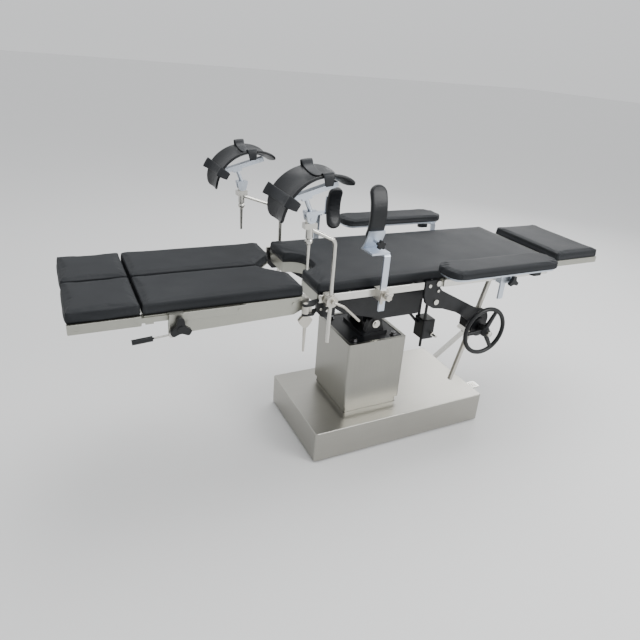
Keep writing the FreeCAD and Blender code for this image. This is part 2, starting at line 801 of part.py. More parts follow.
def lead_screw():
    """Square lift bar, hung from the back frame and passing down through the drive box."""
    turn = math.radians(screw_angle)
    reach = math.hypot(screw_pin_x - wheel_x, screw_pin_z - wheel_z)
    half = screw_bar / 2
    bar = plate("yz", [(screw_y - half, -half, 2), (screw_y + half, -half, 2),
                       (screw_y + half, half, 2), (screw_y - half, half, 2)], 0, reach + screw_tail)
    bar = bar.makeChamfer(1.0, [e for e in bar.Edges if all(v.X > reach for v in e.Vertexes)])
    eye = rod_y(0, 0, screw_y - half, screw_y + half, 12)
    bar = fuse(bar, eye).cut(rod_y(0, 0, screw_y - 20, screw_y + 20, screw_pin_radius))
    bar.rotate(V(0, 0, 0), V(0, 1, 0), 180 - math.degrees(turn))
    bar.translate(V(screw_pin_x, 0, screw_pin_z))
    return bar


def back_gearbox():
    y0 = side_gap - frame_half_width
    y1 = y0 + drive_box_depth + 6
    box = plate("xz", [(wheel_x - 50, wheel_z - 10, 8), (wheel_x + 42, wheel_z - 10, 8),
                       (wheel_x + 42, wheel_z + 62, 14), (wheel_x - 50, wheel_z + 62, 14)], y0, y1)
    spigot = rod_y(wheel_x, wheel_z, -casting_y - side_gap, y0, 24 - running_gap)
    lid = rod_y(wheel_x, wheel_z, -casting_y - side_gap - 8, -casting_y - side_gap, 40)
    neck = rod_y(wheel_x, wheel_z, -casting_y - side_gap - 14, -casting_y - side_gap - 8, 18)
    slot = block(wheel_x - screw_slot / 2, wheel_x + screw_slot / 2, screw_y - screw_bar / 2 - 1,
                 screw_y + screw_bar / 2 + 1, wheel_z - 90, wheel_z + 140)
    slot = turned(slot, (wheel_x, 0, wheel_z), (0, 1, 0), 90 - screw_angle)
    shaft_way = rod_y(wheel_x, wheel_z, wheel_y - 28, 1 - frame_half_width, wheel_shaft)
    return fuse(box, spigot, lid, neck).cut([slot, shaft_way])


def handwheel():
    rim = Part.makeTorus(wheel_radius, wheel_rim, V(wheel_x, wheel_y, wheel_z), V(0, 1, 0))
    hub = rod_y(wheel_x, wheel_z, wheel_y - 14, wheel_y + 22, wheel_hub)
    shaft = rod_y(wheel_x, wheel_z, wheel_y, -frame_half_width - 2, wheel_shaft - running_gap)
    spokes = []
    for degrees in (181, 61, -59):
        spoke = plate("xz", [(wheel_x + 8, wheel_z - 11), (wheel_x + wheel_radius - 2, wheel_z - 8),
                             (wheel_x + wheel_radius - 2, wheel_z + 8), (wheel_x + 8, wheel_z + 11)],
                      wheel_y - 5, wheel_y + 5)
        spokes.append(turned(spoke, (wheel_x, 0, wheel_z), (0, 1, 0), -degrees))
    boss = rod_y(wheel_x, wheel_z, wheel_y - 22, wheel_y - 14, 15)
    knob = rod_y(wheel_x, wheel_z, wheel_y - 36, wheel_y - 22, 11)
    grooves = []
    for i in range(8):
        turn = math.radians(45 * i)
        grooves.append(rod_y(wheel_x + 12 * math.cos(turn), wheel_z + 12 * math.sin(turn),
                             wheel_y - 40, wheel_y - 24, 2.6))
    return fuse(rim, hub, shaft, boss, knob.cut(grooves), *spokes)


def fold_prism():
    """Mattress over the back hinge, between the seat cushion and the back cushion."""
    x0 = back_hinge_x - fold_half_length + seam_gap
    x1 = back_hinge_x + fold_half_length - seam_gap
    return block(x0, x1, -table_half_width, table_half_width, deck_top, pad_top)


nodes["back_frame"] = back_frame()
nodes["back_rails"] = back_rails()
nodes["back_pad"] = slab(back_hinge_x + fold_half_length, back_end_x, -table_half_width,
                         table_half_width, deck_top, pad_top, pad_corner)
nodes["mattress_fold"] = fold_prism()
nodes["lead_screw"] = lead_screw()
nodes["back_gearbox"] = back_gearbox()
nodes["handwheel"] = handwheel()


# Head section

def head_frame():
    side_bar = 10.0
    low = deck_top - 26
    parts = []
    for side in (near, far):
        y = side * head_half_width
        parts.append(block(head_start_x + 4, head_end_x - 4, y, y - side * side_bar, low, deck_top))
    for x in (head_start_x + 4, head_end_x - 14):
        parts.append(block(x, x + 10, 6 - head_half_width, head_half_width - 6, low, deck_top))
    parts.append(block(head_start_x + 6, head_end_x - 6, 6 - head_half_width, head_half_width - 6,
                       frame_top, deck_top))
    for y in (-120, 120):
        arm = plate("xz", [(head_hinge_x - 13, head_hinge_z - 13, 12.9),
                           (head_start_x + 90, head_hinge_z - 10, 3),
                           (head_start_x + 90, frame_top), (head_hinge_x - 13, frame_top - 1, 12)],
                    y - 6, y + 6)
        parts.append(arm.cut(rod_y(head_hinge_x, head_hinge_z, -160, 160, 7)))
    return fuse(*parts)


nodes["head_frame"] = head_frame()
nodes["head_pad"] = slab(head_start_x, head_end_x, -head_half_width, head_half_width,
                         deck_top, pad_top, pad_corner)


# Leg sections

def leg_swing():
    """Hinge block: turns outwards on the spindle and carries the fold pivot."""
    sleeve_low = ear_low_z + ear_thickness + side_gap
    sleeve_high = ear_high_z - side_gap
    sleeve = rod_z(spindle_x, -spindle_y, sleeve_low, sleeve_high, sleeve_radius)
    tongue = block(-500, -486, -spindle_y, -leg_bracket_y - 20, sleeve_low, sleeve_high)
    outer = 5 + side_gap - leg_plate_y
    body = block(fold_x + 20, -486, outer, -leg_bracket_y, sleeve_low, fold_z + knuckle_radius)
    arm = block(fold_x, fold_x + 24, outer, -leg_bracket_y, fold_z - knuckle_radius, fold_z + knuckle_radius)
    knuckle = rod_y(fold_x, fold_z, outer, -leg_bracket_y, knuckle_radius)
    casting = fuse(sleeve, tongue, body, arm, knuckle)
    casting = casting.cut([rod_y(fold_x, fold_z, -300, -100, fold_pin_radius),
                           rod_z(spindle_x, -spindle_y, 600, 800, spindle_radius - running_gap)])
    spindle = rod_z(spindle_x, -spindle_y, 676, ear_high_z + ear_thickness, spindle_radius - running_gap)
    head = plate("xz", [(spindle_x - 12, ear_low_z - 2), (spindle_x - 26, 668, 6), (spindle_x - 18, 652, 6),
                        (spindle_x - 6, 640, 4), (spindle_x + 6, 640, 4), (spindle_x + 18, 652, 6),
                        (spindle_x + 26, 668, 6), (spindle_x + 12, ear_low_z - 2)],
                 -spindle_y - 7, -spindle_y + 7)
    handle = Part.makeCone(4, 6, 96, V(spindle_x, -spindle_y, 546))
    lever = fuse(head.cut(rod_z(spindle_x, -spindle_y, 676, 690, spindle_radius - running_gap)), handle)
    return group(casting, spindle, lever)


def leg_frame():
    near_y = -leg_plate_y
    outer = plate("xz", [(clamp_x - 22, leg_deck_top), (clamp_x - 22, 714, 4), (-890, leg_plate_low, 12),
                         (fold_x, fold_z - leg_plate_radius), (fold_x + leg_plate_radius, fold_z - 20, 30),
                         (fold_x + leg_plate_radius, leg_deck_top)], near_y, near_y + leg_plate)
    low = leg_frame_top - 24
    cheek = plate("xz", [(fold_x - 60, low), (fold_x + 30, low, 10), (fold_x + 30, leg_frame_top),
                         (fold_x - 60, leg_frame_top)],
                  0.3 - leg_bracket_y, 0.3 - leg_bracket_y + leg_plate)
    inner = block(foot_seam_x + 8, leg_cut_x + 8, -12, -9, low, leg_frame_top)
    bars = []
    for x in (-1008, -888, -640):
        bars.append(block(x - 12, x + 12, near_y + leg_plate, -12, low, leg_frame_top))
    deck_half = leg_plate_y
    deck = plate("xy", [(foot_seam_x + 4, -deck_half), (leg_end_x - 4, -deck_half),
                        (leg_end_x - 4, -leg_cut_y - 2),
                        (leg_cut_x + 2, -22), (leg_cut_x - 4, -9), (foot_seam_x + 4, -9)],
                 leg_frame_top, leg_deck_top)
    frame = fuse(outer, cheek, inner, deck, *bars)
    ways = []
    for y in slide_rod_lines:
        ways.append(rod((-1100, y, low + 11), (-600, y, low + 11), slide_rod_radius))
    frame = frame.cut(ways)
    pin = rod_y(fold_x, fold_z, near_y - 2, 4 - leg_bracket_y, fold_pin_radius - running_gap)
    frame = frame.cut(rod_y(fold_x, fold_z, -300, -100, fold_pin_radius - running_gap))
    clamp = block(clamp_x - clamp_length / 2, clamp_x + clamp_length / 2, near_y - 20, near_y,
                  foot_knob_z - 6, leg_deck_top + 3)
    channel = block(clamp_x - 40, clamp_x + 40, near_y - 5.3, near_y, 722, 743)
    clamp = clamp.cut(channel)
    half = rail_height / 2 - 0.5
    rest = plate("yz", [(near_y - 13, foot_rail_z - half, 1), (near_y - 6, foot_rail_z - half, 1),
                        (near_y - 6, foot_rail_z + half, 1), (near_y - 13, foot_rail_z + half, 1)],
                 clamp_x + clamp_length / 2, -715)
    spacer = rod_y(-735, 732, near_y - 6, near_y, 6)
    screw = rod_y(-735, 732, near_y - 14.5, near_y - 13, 6)
    pivot = rod_y(-948, 677, near_y - 6, near_y, 8)
    catch = fuse(pivot, block(-956, -920, near_y - 3, near_y, 672, 716))
    return group(frame, pin, clamp, rest, spacer, screw, catch)


def foot_frame():
    low = leg_frame_top - 24
    near_y = -leg_plate_y
    wall_y = near_y + 4
    deck = slab(foot_end_x + 5, foot_seam_x - 4, wall_y, -8, leg_frame_top, leg_deck_top, 4)
    end_bar = block(foot_end_x + 5, foot_end_x + 17, wall_y, -8, low, leg_frame_top)
    seam_bar = block(foot_seam_x - 26, foot_seam_x - 10, wall_y, -8, low, leg_frame_top)
    skirt = block(foot_end_x + 5, foot_seam_x - 4, near_y, wall_y, low - 2, leg_deck_top)
    tongue = block(foot_seam_x - 10, -800, near_y - 4.5, near_y - 0.3, 724, 741)
    half = rail_height / 2
    face = near_y - rail_thickness
    rail_bar = plate("yz", [(face, foot_rail_z - half, 1.5), (near_y, foot_rail_z - half),
                            (near_y, foot_rail_z + half), (face, foot_rail_z + half, 1.5)],
                     foot_end_x + 4, foot_seam_x - 4)
    rods = []
    for y in slide_rod_lines:
        rods.append(rod((foot_end_x + 40, y, low + 11), (-790, y, low + 11), slide_rod_radius - running_gap))
    frame = fuse(deck, end_bar, seam_bar, skirt, rail_bar, tongue, *rods)
    screws = []
    recess = face + rail_screw_recess
    for x in (foot_end_x + 28, foot_seam_x - 20):
        frame = frame.cut(rod_y(x, foot_rail_z, face - 1, recess, rail_screw_radius + side_gap))
        screws.append(rod_y(x, foot_rail_z, face + side_gap, recess, rail_screw_radius))
    return group(frame, *screws)


def leg_lever():
    y = -leg_plate_y - 6.3
    hub = rod_y(-948, 677, y - 8, y, 9)
    bar = rod((-948, y - 4, 677), (-1010, y - 4, 672), 3)
    grip = rod((-1004, y - 4, 672.5), (-1064, y - 4, 668), 8.5)
    return fuse(hub, bar, grip)


def lobed_knob(x, z, y0, y1, reach, half_tip, waist):
    """Three-armed clamp knob with hollow sides, seen along Y."""
    points = []
    for i in range(3):
        arm = math.radians(90 + 120 * i)
        for way in (-1, 1):
            points.append((x + reach * math.cos(arm) - way * half_tip * math.sin(arm),
                           z + reach * math.sin(arm) + way * half_tip * math.cos(arm), half_tip * 0.8))
        valley = arm + math.radians(60)
        points.append((x + waist * math.cos(valley), z + waist * math.sin(valley), waist))
    return plate("xz", points, y0, y1)


def foot_knob():
    """Clamp knob on the side of the clamp block."""
    x = clamp_x + 8
    z = foot_knob_z
    y = -leg_plate_y - 20 - side_gap
    lobes = lobed_knob(x, z, y - 20, y - 6, 34, 10, 15)
    neck = rod_y(x, z, y - 6, y, 11)
    cap = rod_y(x, z, y - 23, y - 20, 10)
    return fuse(lobes, neck, cap)


def leg_pad():
    half = table_half_width
    return plate("xy", [(foot_seam_x + 1, -half, 6), (leg_end_x, -half, 10), (leg_end_x, -leg_cut_y, 12),
                        (leg_cut_x, -20, 12), (leg_cut_x - 12, -3, 6), (foot_seam_x + 1, -3, 6)],
                 leg_deck_top, pad_top)


def foot_pad():
    return slab(foot_end_x, foot_seam_x - 1, -table_half_width, -3, leg_deck_top, pad_top, pad_corner)


for side, word in ((near, "near"), (far, "far")):
    nodes["leg_swing_" + word] = for_side(side, leg_swing())
    nodes["leg_frame_" + word] = for_side(side, leg_frame())
    nodes["leg_pad_" + word] = for_side(side, leg_pad())
    nodes["foot_frame_" + word] = for_side(side, foot_frame())
    nodes["foot_pad_" + word] = for_side(side, foot_pad())
    nodes["leg_lever_" + word] = for_side(side, leg_lever())
    nodes["foot_knob_" + word] = for_side(side, foot_knob())


# Leg supports (knee crutches)

crutches = {
    "near": {"post_x": -427.0, "head_x": -522.0, "elbow_z": 948.0, "head_z": 1028.0},
    "far": {"post_x": -393.0, "head_x": -560.0, "elbow_z": 905.0, "head_z": 996.0},
}
rod_low_z = 578.0


def crutch_rod(spec):
    post_x, head_x = spec["post_x"], spec["head_x"]
    stem_low = spec["head_z"] - 62
    y = -crutch_y
    bent = bent_rod([(post_x, y, rod_low_z), (post_x, y, spec["elbow_z"]), (head_x + 8, y, stem_low + 26)],
                    crutch_rod_radius, crutch_bend)
    stem = rod_z(head_x, y, stem_low, spec["head_z"] - 20, 12)
    block_low = block(head_x - 21, head_x + 21, y - 12, y + 12, spec["head_z"] - 32, spec["head_z"] - 14)
    eye = rod_y(head_x, spec["head_z"], y - 7, y + 7, 13)
    eye = fuse(eye, block(head_x - 13, head_x + 13, y - 7, y + 7, spec["head_z"] - 15, spec["head_z"]))
    knuckle = Part.makeSphere(13, V(head_x, y, stem_low - 12))
    waist = rod_z(head_x, y, stem_low - 6, stem_low + 2, 8)
    handle = Part.makeCone(4.5, 6.5, 88, V(head_x, y, stem_low - 108))
    whole = fuse(bent, stem, block_low, eye, knuckle, waist, handle)
    return whole.cut(rod_y(head_x, spec["head_z"], y - 20, y + 20, 6))


def crutch_frame_points(spec):
    slope = math.radians(channel_slope)
    middle = V(spec["head_x"] + 2, -crutch_y, spec["head_z"] + 84)
    along = V(math.cos(slope), 0, math.sin(slope))
    upright = V(-math.sin(slope), 0, math.cos(slope))
    return middle, along, upright


def crutch_saddle_frame(spec):
    """Clevis, neck and channel that carry the trough."""
    head_x, head_z, y = spec["head_x"], spec["head_z"], -crutch_y
    middle, along, upright = crutch_frame_points(spec)
    cheeks = []
    for side in (near, far):
        y0 = y + side * 7.3
        cheeks.append(plate("xz", [(head_x - 13, head_z - 13, 12.5), (head_x + 13, head_z - 13, 12.5),
                                   (head_x + 20, head_z + 22, 4), (head_x - 20, head_z + 22, 4)],
                            min(y0, y0 + side * 8), max(y0, y0 + side * 8)))
    cap = block(head_x - 20, head_x + 20, y - 15, y + 15, head_z + 14, head_z + 24)
    foot = middle - along * 26 - upright * (channel_height / 2 + 3)
    neck = rod((head_x, y, head_z + 20), (foot.x, foot.y, foot.z), 7)
    shell = Part.makeBox(channel_length, channel_width, channel_height,
                         V(-channel_length / 2, -channel_width / 2, -channel_height / 2))
    hollow = Part.makeBox(channel_length + 2, channel_width - 5, channel_height,
                          V(-channel_length / 2 - 1, 2.5 - channel_width / 2, -channel_height / 2 - 2.5))
    channel = shell.cut(hollow)
    saddle_block = Part.makeBox(34, channel_width - 5.2, channel_height + 6,
                                V(-42, 2.6 - channel_width / 2, -channel_height / 2 - 8))
    for piece in (channel, saddle_block):
        piece.rotate(V(0, 0, 0), V(0, 1, 0), -channel_slope)
        piece.translate(middle)
    frame = fuse(fuse(*cheeks, cap, neck), saddle_block, channel)
    pin = rod_y(head_x, head_z, y - 17, y + 17, 6 - running_gap)
    frame = frame.cut(rod_y(head_x, head_z, y - 17, y + 17, 6 - running_gap))
    return group(frame, pin)


def dish_section(y, bottom, offset, thickness, half):
    """Shallow U across the trough, drawn in the YZ plane with Z as the sweep radius."""
    curve = dish_radius
    inner = curve - offset
    outer = inner + thickness
    middle = bottom + curve
    reach = math.asin(half / curve)

    def at(radius, angle):
        return V(0, y + radius * math.sin(angle), middle - radius * math.cos(angle))
    return Part.Face(Part.Wire([
        Part.Arc(at(outer, -reach), at(outer, 0), at(outer, reach)).toShape(),
        Part.LineSegment(at(outer, reach), at(inner, reach)).toShape(),
        Part.Arc(at(inner, reach), at(inner, 0), at(inner, -reach)).toShape(),
        Part.LineSegment(at(inner, -reach), at(outer, -reach)).toShape()]))


def crutch_pad(spec):
    """Trough for the knee: a dish swept on an arc, with two straps laid through it."""
    middle, along, upright = crutch_frame_points(spec)
    rest = math.sqrt(saddle_radius ** 2 - (channel_length / 2) ** 2)
    centre = middle + upright * (channel_height / 2 + soft_gap - rest)
    y = -crutch_y
    half = saddle_half_width
    bottom = saddle_radius + saddle_skin
    rim = bottom + dish_radius - math.sqrt(dish_radius ** 2 - half ** 2)

    def swept(face, start, sweep):
        solid = face.revolve(V(0, y, 0), V(0, 1, 0), sweep)
        solid.rotate(V(0, y, 0), V(0, 1, 0), start)
        solid.translate(V(centre.x, 0, centre.z))
        return solid

    trough = swept(dish_section(y, bottom, 0, saddle_skin, half), saddle_start, saddle_sweep)
    for angle, way in ((saddle_start, 1), (saddle_start + saddle_sweep, -1)):
        keep = plate("xy", [(-way * 0.5, y - half + 8, 52), (way * 200, y - half - 8),
                            (way * 200, y + half + 8), (-way * 0.5, y + half - 8, 52)], 0, 400)
        keep.rotate(V(0, y, 0), V(0, 1, 0), angle)
        keep.translate(V(centre.x, 0, centre.z))
        other = keep.copy()
        other.rotate(V(centre.x, y, centre.z), V(0, 1, 0), way * 80)
        trough = trough.common(fuse(keep, other))
    straps = []
    for angle in strap_angles:
        band = dish_section(y, bottom, strap_thickness + soft_gap, strap_thickness, half + 3)
        tail = Part.Face(rounded_wire([(V(0, y - half - 6, rim - 24), 0), (V(0, y - half - 3, rim - 24), 0),
                                       (V(0, y - half - 3, rim + 4), 0), (V(0, y - half - 6, rim + 4), 0)]))
        solids = [swept(band, angle, strap_sweep), swept(tail, angle, strap_sweep)]
        top = rim + 16
        for low_r, high_r, y0, y1 in ((rim - 20, top, half + 3, half + 6), (rim, top, half - 12, half - 9),
                                      (top - 3, top, half - 12, half + 6)):
            face = Part.Face(rounded_wire([(V(0, y + y0, low_r), 0), (V(0, y + y1, low_r), 0),
                                           (V(0, y + y1, high_r), 0), (V(0, y + y0, high_r), 0)]))
            solids.append(swept(face, angle, strap_sweep))
        straps.append(fuse(*solids))
    return group(trough, *straps)


for side, word in ((near, "near"), (far, "far")):
    nodes["crutch_rod_" + word] = for_side(side, crutch_rod(crutches[word]))
    nodes["crutch_frame_" + word] = for_side(side, crutch_saddle_frame(crutches[word]))
    nodes["crutch_pad_" + word] = for_side(side, crutch_pad(crutches[word]))


# Body supports

supports = {
    "near": {"post_x": -223.0, "bracket_z": 884.0, "pad_x": -250.0, "pad_low": 912.0, "pad_high": 1118.0},
    "far": {"post_x": -224.0, "bracket_z": 878.0, "pad_x": -172.0, "pad_low": 816.0, "pad_high": 1002.0},
}
support_low_z = 672.0


def support_shell(spec, inner, outer, width, low, high):
    """Part of a ring about the pad's axis of curvature, kept between two heights."""
    x = spec["pad_x"]
    middle = (spec["pad_low"] + spec["pad_high"]) / 2
    centre_y = support_pad_radius - support_reach
    ring = Part.makeCylinder(outer, width, V(x - width / 2, centre_y, middle), V(1, 0, 0))
    ring = ring.cut(Part.makeCylinder(inner, width + 2, V(x - width / 2 - 1, centre_y, middle), V(1, 0, 0)))
    return ring.common(block(x - width, x + width, centre_y - outer - 1, centre_y - outer / 2, low, high))


def support_post(spec):
    x, z = spec["post_x"], spec["bracket_z"]
    half = post_bar_width / 2
    outer = -support_y - post_bar_thickness
    upright = plate("yz", [(outer, support_low_z), (-support_y, support_low_z), (-support_y, z - 8),
                           (18 - support_y, z - 8), (18 - support_y, z), (outer, z, 7)], x - half, x + half)
    reach = spec["pad_x"]
    back = support_pad_radius + soft_gap
    shell = support_shell(spec, back, back + support_bracket, support_width, z + 1, z + 76)
    x0 = min(x - half, reach - support_width / 2)
    x1 = max(x + half, reach + support_width / 2)
    inner_y = shell.BoundBox.YMax
    arm = block(x0, x1, -support_y - 2, inner_y, z, z + support_bracket)
    pocket = Part.makeCylinder(back, x1 - x0 + 2, V(x0 - 1, support_pad_radius - support_reach,
                               (spec["pad_low"] + spec["pad_high"]) / 2), V(1, 0, 0))
    arm = arm.cut(pocket)
    knob_z = z + 36
    knob_y = 8 - support_y
    screw = rod_y(reach, knob_z, knob_y, inner_y, 5).cut(pocket)
    star = [rod_y(reach, knob_z, knob_y - 14, knob_y, 11)]
    for i in range(5):
        turn = math.radians(72 * i + 90)
        grip_x = reach + 11 * math.cos(turn)
        star.append(rod_y(grip_x, knob_z + 11 * math.sin(turn), knob_y - 14, knob_y, 5.5))
    return group(fuse(upright, arm, shell, screw), fuse(*star))


def support_pad(spec):
    """Tall pad, bowed towards the patient at both ends."""
    low, high, x = spec["pad_low"], spec["pad_high"], spec["pad_x"]
    half = support_width / 2 + 1
    pad = support_shell(spec, support_pad_radius - support_pad_thickness, support_pad_radius, 2 * half + 4,
                        low - 4, high + 4)
    outline = plate("xz", [(x - half, low, 30), (x + half, low, 30), (x + half, high, 30),
                           (x - half, high, 30)], -400, 400)
    return pad.common(outline)


for side, word in ((near, "near"), (far, "far")):
    nodes["support_post_" + word] = for_side(side, support_post(supports[word]))
    nodes["support_pad_" + word] = for_side(side, support_pad(supports[word]))


# Clamps on the seat rails

def rail_jaw(x, half, front):
    """Jaw that hooks over the rail from its front, hollowed to the rail's section."""
    high = rail_z + rail_height / 2
    low = rail_z - rail_height / 2
    back = jaw_lip - rail_y
    jaw = block(x - half, x + half, front, back, low - 7, high + 6)
    return jaw.cut([block(x - half - 1, x + half + 1, -rail_y - rail_thickness, -rail_y, low, high),
                    block(x - half - 1, x + half + 1, -rail_y, back + 1, low - 8, high - jaw_lip),
                    block(x - half - 1, x + half + 1, -rail_y - 1, back + 1, low - 8, low)])


def crutch_clamp(spec):
    x = spec["post_x"]
    jaw = rail_jaw(x, 15, -crutch_y)
    disc = Part.makeCylinder(21, 26, V(x, -crutch_y - 14, rail_z), V(0, 1, 0))
    body = fuse(jaw, disc).cut(rod_z(x, -crutch_y, 600, 900, crutch_rod_radius + running_gap))
    y = -crutch_y - 14
    boss = rod_y(x + 4, rail_z, y - 10, y, 9)
    lever = bent_rod([(x + 4, y - 7, rail_z), (x + 46, y - 7, rail_z - 22), (x + 108, y - 7, rail_z - 82)],
                     5, 60)
    return [body, fuse(boss, lever)]


def support_clamp(spec):
    x = spec["post_x"]
    half = post_bar_width / 2 + 6
    y = -support_y
    jaw = rail_jaw(x, half, y)
    body = fuse(jaw, block(x - half, x + half, y - 16, y + 4, rail_z - 21, rail_z + 20))
    way = block(x - post_bar_width / 2 - 0.1, x + post_bar_width / 2 + 0.1, y - post_bar_thickness - 0.1,
                y + 0.1, 600, 900)
    stem = rod_y(x + 4, rail_z, y - 26, y - 16, 5)
    grip = rod_y(x + 4, rail_z, y - 44, y - 26, 12)
    grooves = []
    for i in range(6):
        turn = math.radians(60 * i)
        grooves.append(rod_y(x + 4 + 14 * math.cos(turn), rail_z + 14 * math.sin(turn), y - 50, y - 20, 4))
    tab = plate("xz", [(x - 14, rail_z + 14, 4), (x - 4, rail_z + 14, 4), (x - 6, rail_z - 34, 5),
                       (x - 18, rail_z - 30, 5)], y - 20, y - 16.1)
    return [body.cut(way), fuse(stem, grip.cut(grooves)), tab]


def accessory_clamps():
    solids = []
    for side, word in ((near, "near"), (far, "far")):
        for piece in crutch_clamp(crutches[word]) + support_clamp(supports[word]):
            solids.append(for_side(side, piece))
    return group(*solids)


nodes["accessory_clamps"] = accessory_clamps()


# Arm boards

boards = {
    "near": {"post_x": 350.0, "head_end": 522.0},
    "far": {"post_x": 392.0, "head_end": 445.0},
}
board_under = board_top - board_pad_thickness - board_plate_thickness
arm_top = board_under - side_gap
arm_post_low = 646.0


def board_pivot_x(spec):
    return spec["head_end"] - board_pivot_inset


def arm_post(spec):
    x = spec["post_x"]
    pivot_x = board_pivot_x(spec)
    half = post_bar_width / 2
    outer = -arm_post_y - post_bar_thickness
    upright = block(x - half, x + half, outer, -arm_post_y, arm_post_low, arm_top - 8)
    run = plate("xy", [(x - half, -arm_post_y, 4), (x + half, -arm_post_y, 4),
                       (pivot_x + 22, 22 - board_y, 14), (pivot_x + 22, -22 - board_y, 14),
                       (pivot_x - 22, -22 - board_y, 14), (x - half, outer - 6, 4)], arm_top - 8, arm_top)
    run = run.cut(rod_z(pivot_x, -board_y, 700, 900, 6 + running_gap))
    jaw = rail_jaw(x + 12, 30, -arm_post_y)
    body = fuse(jaw, block(x - 18, x + 42, outer - 4, -arm_post_y + 4, rail_z - 21, rail_z + 20))
    way = block(x - half, x + half, outer, -arm_post_y, 600, 900)
    knob_x = x + 32
    knob_z = rail_z - 10
    stem = rod_y(knob_x, knob_z, outer - 14, outer - 4, 6)
    lobes = lobed_knob(knob_x, knob_z, outer - 28, outer - 14, 24, 7, 11)
    return [fuse(upright, run), body.cut(way), fuse(stem, lobes)]


def arm_board_posts():
    solids = []
    for side, word in ((near, "near"), (far, "far")):
        for piece in arm_post(boards[word]):
            solids.append(for_side(side, piece))
    return group(*solids)


def arm_board(spec):
    """Board plate, its pivot bolt and the oval lock knob under the arm."""
    x1 = spec["head_end"] - 12
    x0 = x1 - board_length + 24
    half = board_width / 2 - 12
    x = board_pivot_x(spec)
    under = board_under
    sheet = slab(x0, x1, -board_y - half, half - board_y, under, under + board_plate_thickness, 40)
    bolt = rod_z(x, -board_y, arm_top - 20, board_under, 6)
    knob = slab(x - 26, x + 26, -board_y - 16, 16 - board_y, arm_top - 34, arm_top - 18, 15)
    return group(fuse(sheet, bolt, knob))


def arm_pad(spec):
    x1 = spec["head_end"]
    half = board_width / 2
    low = board_top - board_pad_thickness
    return slab(x1 - board_length, x1, -board_y - half, half - board_y, low, board_top, 52)


nodes["arm_board_posts"] = arm_board_posts()
for side, word in ((near, "near"), (far, "far")):
    nodes["arm_board_" + word] = for_side(side, arm_board(boards[word]))
    nodes["arm_pad_" + word] = for_side(side, arm_pad(boards[word]))

for name, shape in nodes.items():
    shape.exportStep("parts/" + name + ".step")
    print(name, len(shape.Solids), round(shape.Volume / 1000), shape.isValid())
print(len(nodes), "nodes")
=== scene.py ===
import bpy
import bmesh
import json
import math
from mathutils import Matrix, Vector, noise
from mathutils.bvhtree import BVHTree

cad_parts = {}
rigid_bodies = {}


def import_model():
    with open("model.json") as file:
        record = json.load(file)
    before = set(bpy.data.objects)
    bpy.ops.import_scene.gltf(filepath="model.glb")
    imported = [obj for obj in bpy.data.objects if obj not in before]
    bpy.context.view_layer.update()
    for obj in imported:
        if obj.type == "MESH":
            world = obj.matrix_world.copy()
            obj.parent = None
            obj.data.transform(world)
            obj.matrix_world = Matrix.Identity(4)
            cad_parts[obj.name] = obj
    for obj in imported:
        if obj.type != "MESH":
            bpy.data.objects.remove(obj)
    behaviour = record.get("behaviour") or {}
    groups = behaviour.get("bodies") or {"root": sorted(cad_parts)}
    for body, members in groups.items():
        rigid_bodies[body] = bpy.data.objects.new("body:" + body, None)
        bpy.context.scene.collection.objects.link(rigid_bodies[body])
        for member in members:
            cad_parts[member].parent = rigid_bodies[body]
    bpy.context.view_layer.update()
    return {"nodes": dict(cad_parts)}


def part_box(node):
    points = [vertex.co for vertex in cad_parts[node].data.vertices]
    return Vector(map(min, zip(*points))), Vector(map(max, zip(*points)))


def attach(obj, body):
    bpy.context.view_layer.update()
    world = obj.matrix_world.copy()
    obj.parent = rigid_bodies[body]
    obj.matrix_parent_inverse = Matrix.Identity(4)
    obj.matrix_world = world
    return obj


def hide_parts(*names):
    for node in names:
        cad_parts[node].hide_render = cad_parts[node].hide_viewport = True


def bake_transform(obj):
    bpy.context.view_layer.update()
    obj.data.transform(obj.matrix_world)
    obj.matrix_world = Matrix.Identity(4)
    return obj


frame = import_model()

# operating table: metres, floor at z = 0, head end towards +X, operator's side towards -Y
nodes = frame["nodes"]
sides = {"near": -1, "far": 1}
for spare in [o for o in bpy.data.objects if o.name in ("Cube", "Light", "Camera")]:
    bpy.data.objects.remove(spare)
print("frame loaded")


# camera and studio

camera = {"place": (-1.2372, -1.8012, 1.4995), "turn": 29.389, "down": 23.680, "roll": 5.308,
          "lens": 31.336, "shift": (-0.03526, -0.0319)}
lamps = {"top": {"place": (0.3, 0.4, 3.6), "size": 3.0, "power": 110},
         "key": {"place": (2.2, -3.4, 2.6), "size": 2.0, "power": 150},
         "rim": {"place": (3.0, 2.4, 2.2), "size": 1.6, "power": 40}}
lampAim = (0, 0, 0.6)
backdrop = {"horizon": (0.86, 0.87, 0.88), "zenith": (1.25, 1.27, 1.30), "floor": (0.66, 0.66, 0.655),
            "half": 40.0, "farthest": 60, "drop": 0.0005}


def setCamera():
    turn, down, roll = (math.radians(camera[k]) for k in ("turn", "down", "roll"))
    forward = Vector((math.sin(turn) * math.cos(down), math.cos(turn) * math.cos(down), -math.sin(down)))
    level = Vector((math.cos(turn), -math.sin(turn), 0))
    upright = level.cross(forward)
    right = level * math.cos(roll) + upright * math.sin(roll)
    up = upright * math.cos(roll) - level * math.sin(roll)
    data = bpy.data.cameras.new("photoCamera")
    data.lens, data.sensor_width = camera["lens"], 36
    data.shift_x, data.shift_y = camera["shift"]
    data.clip_end = backdrop["farthest"]
    shot = bpy.data.objects.new("photoCamera", data)
    shot.matrix_world = Matrix((right, up, -forward)).transposed().to_4x4()
    shot.location = camera["place"]
    bpy.context.collection.objects.link(shot)
    bpy.context.scene.camera = shot


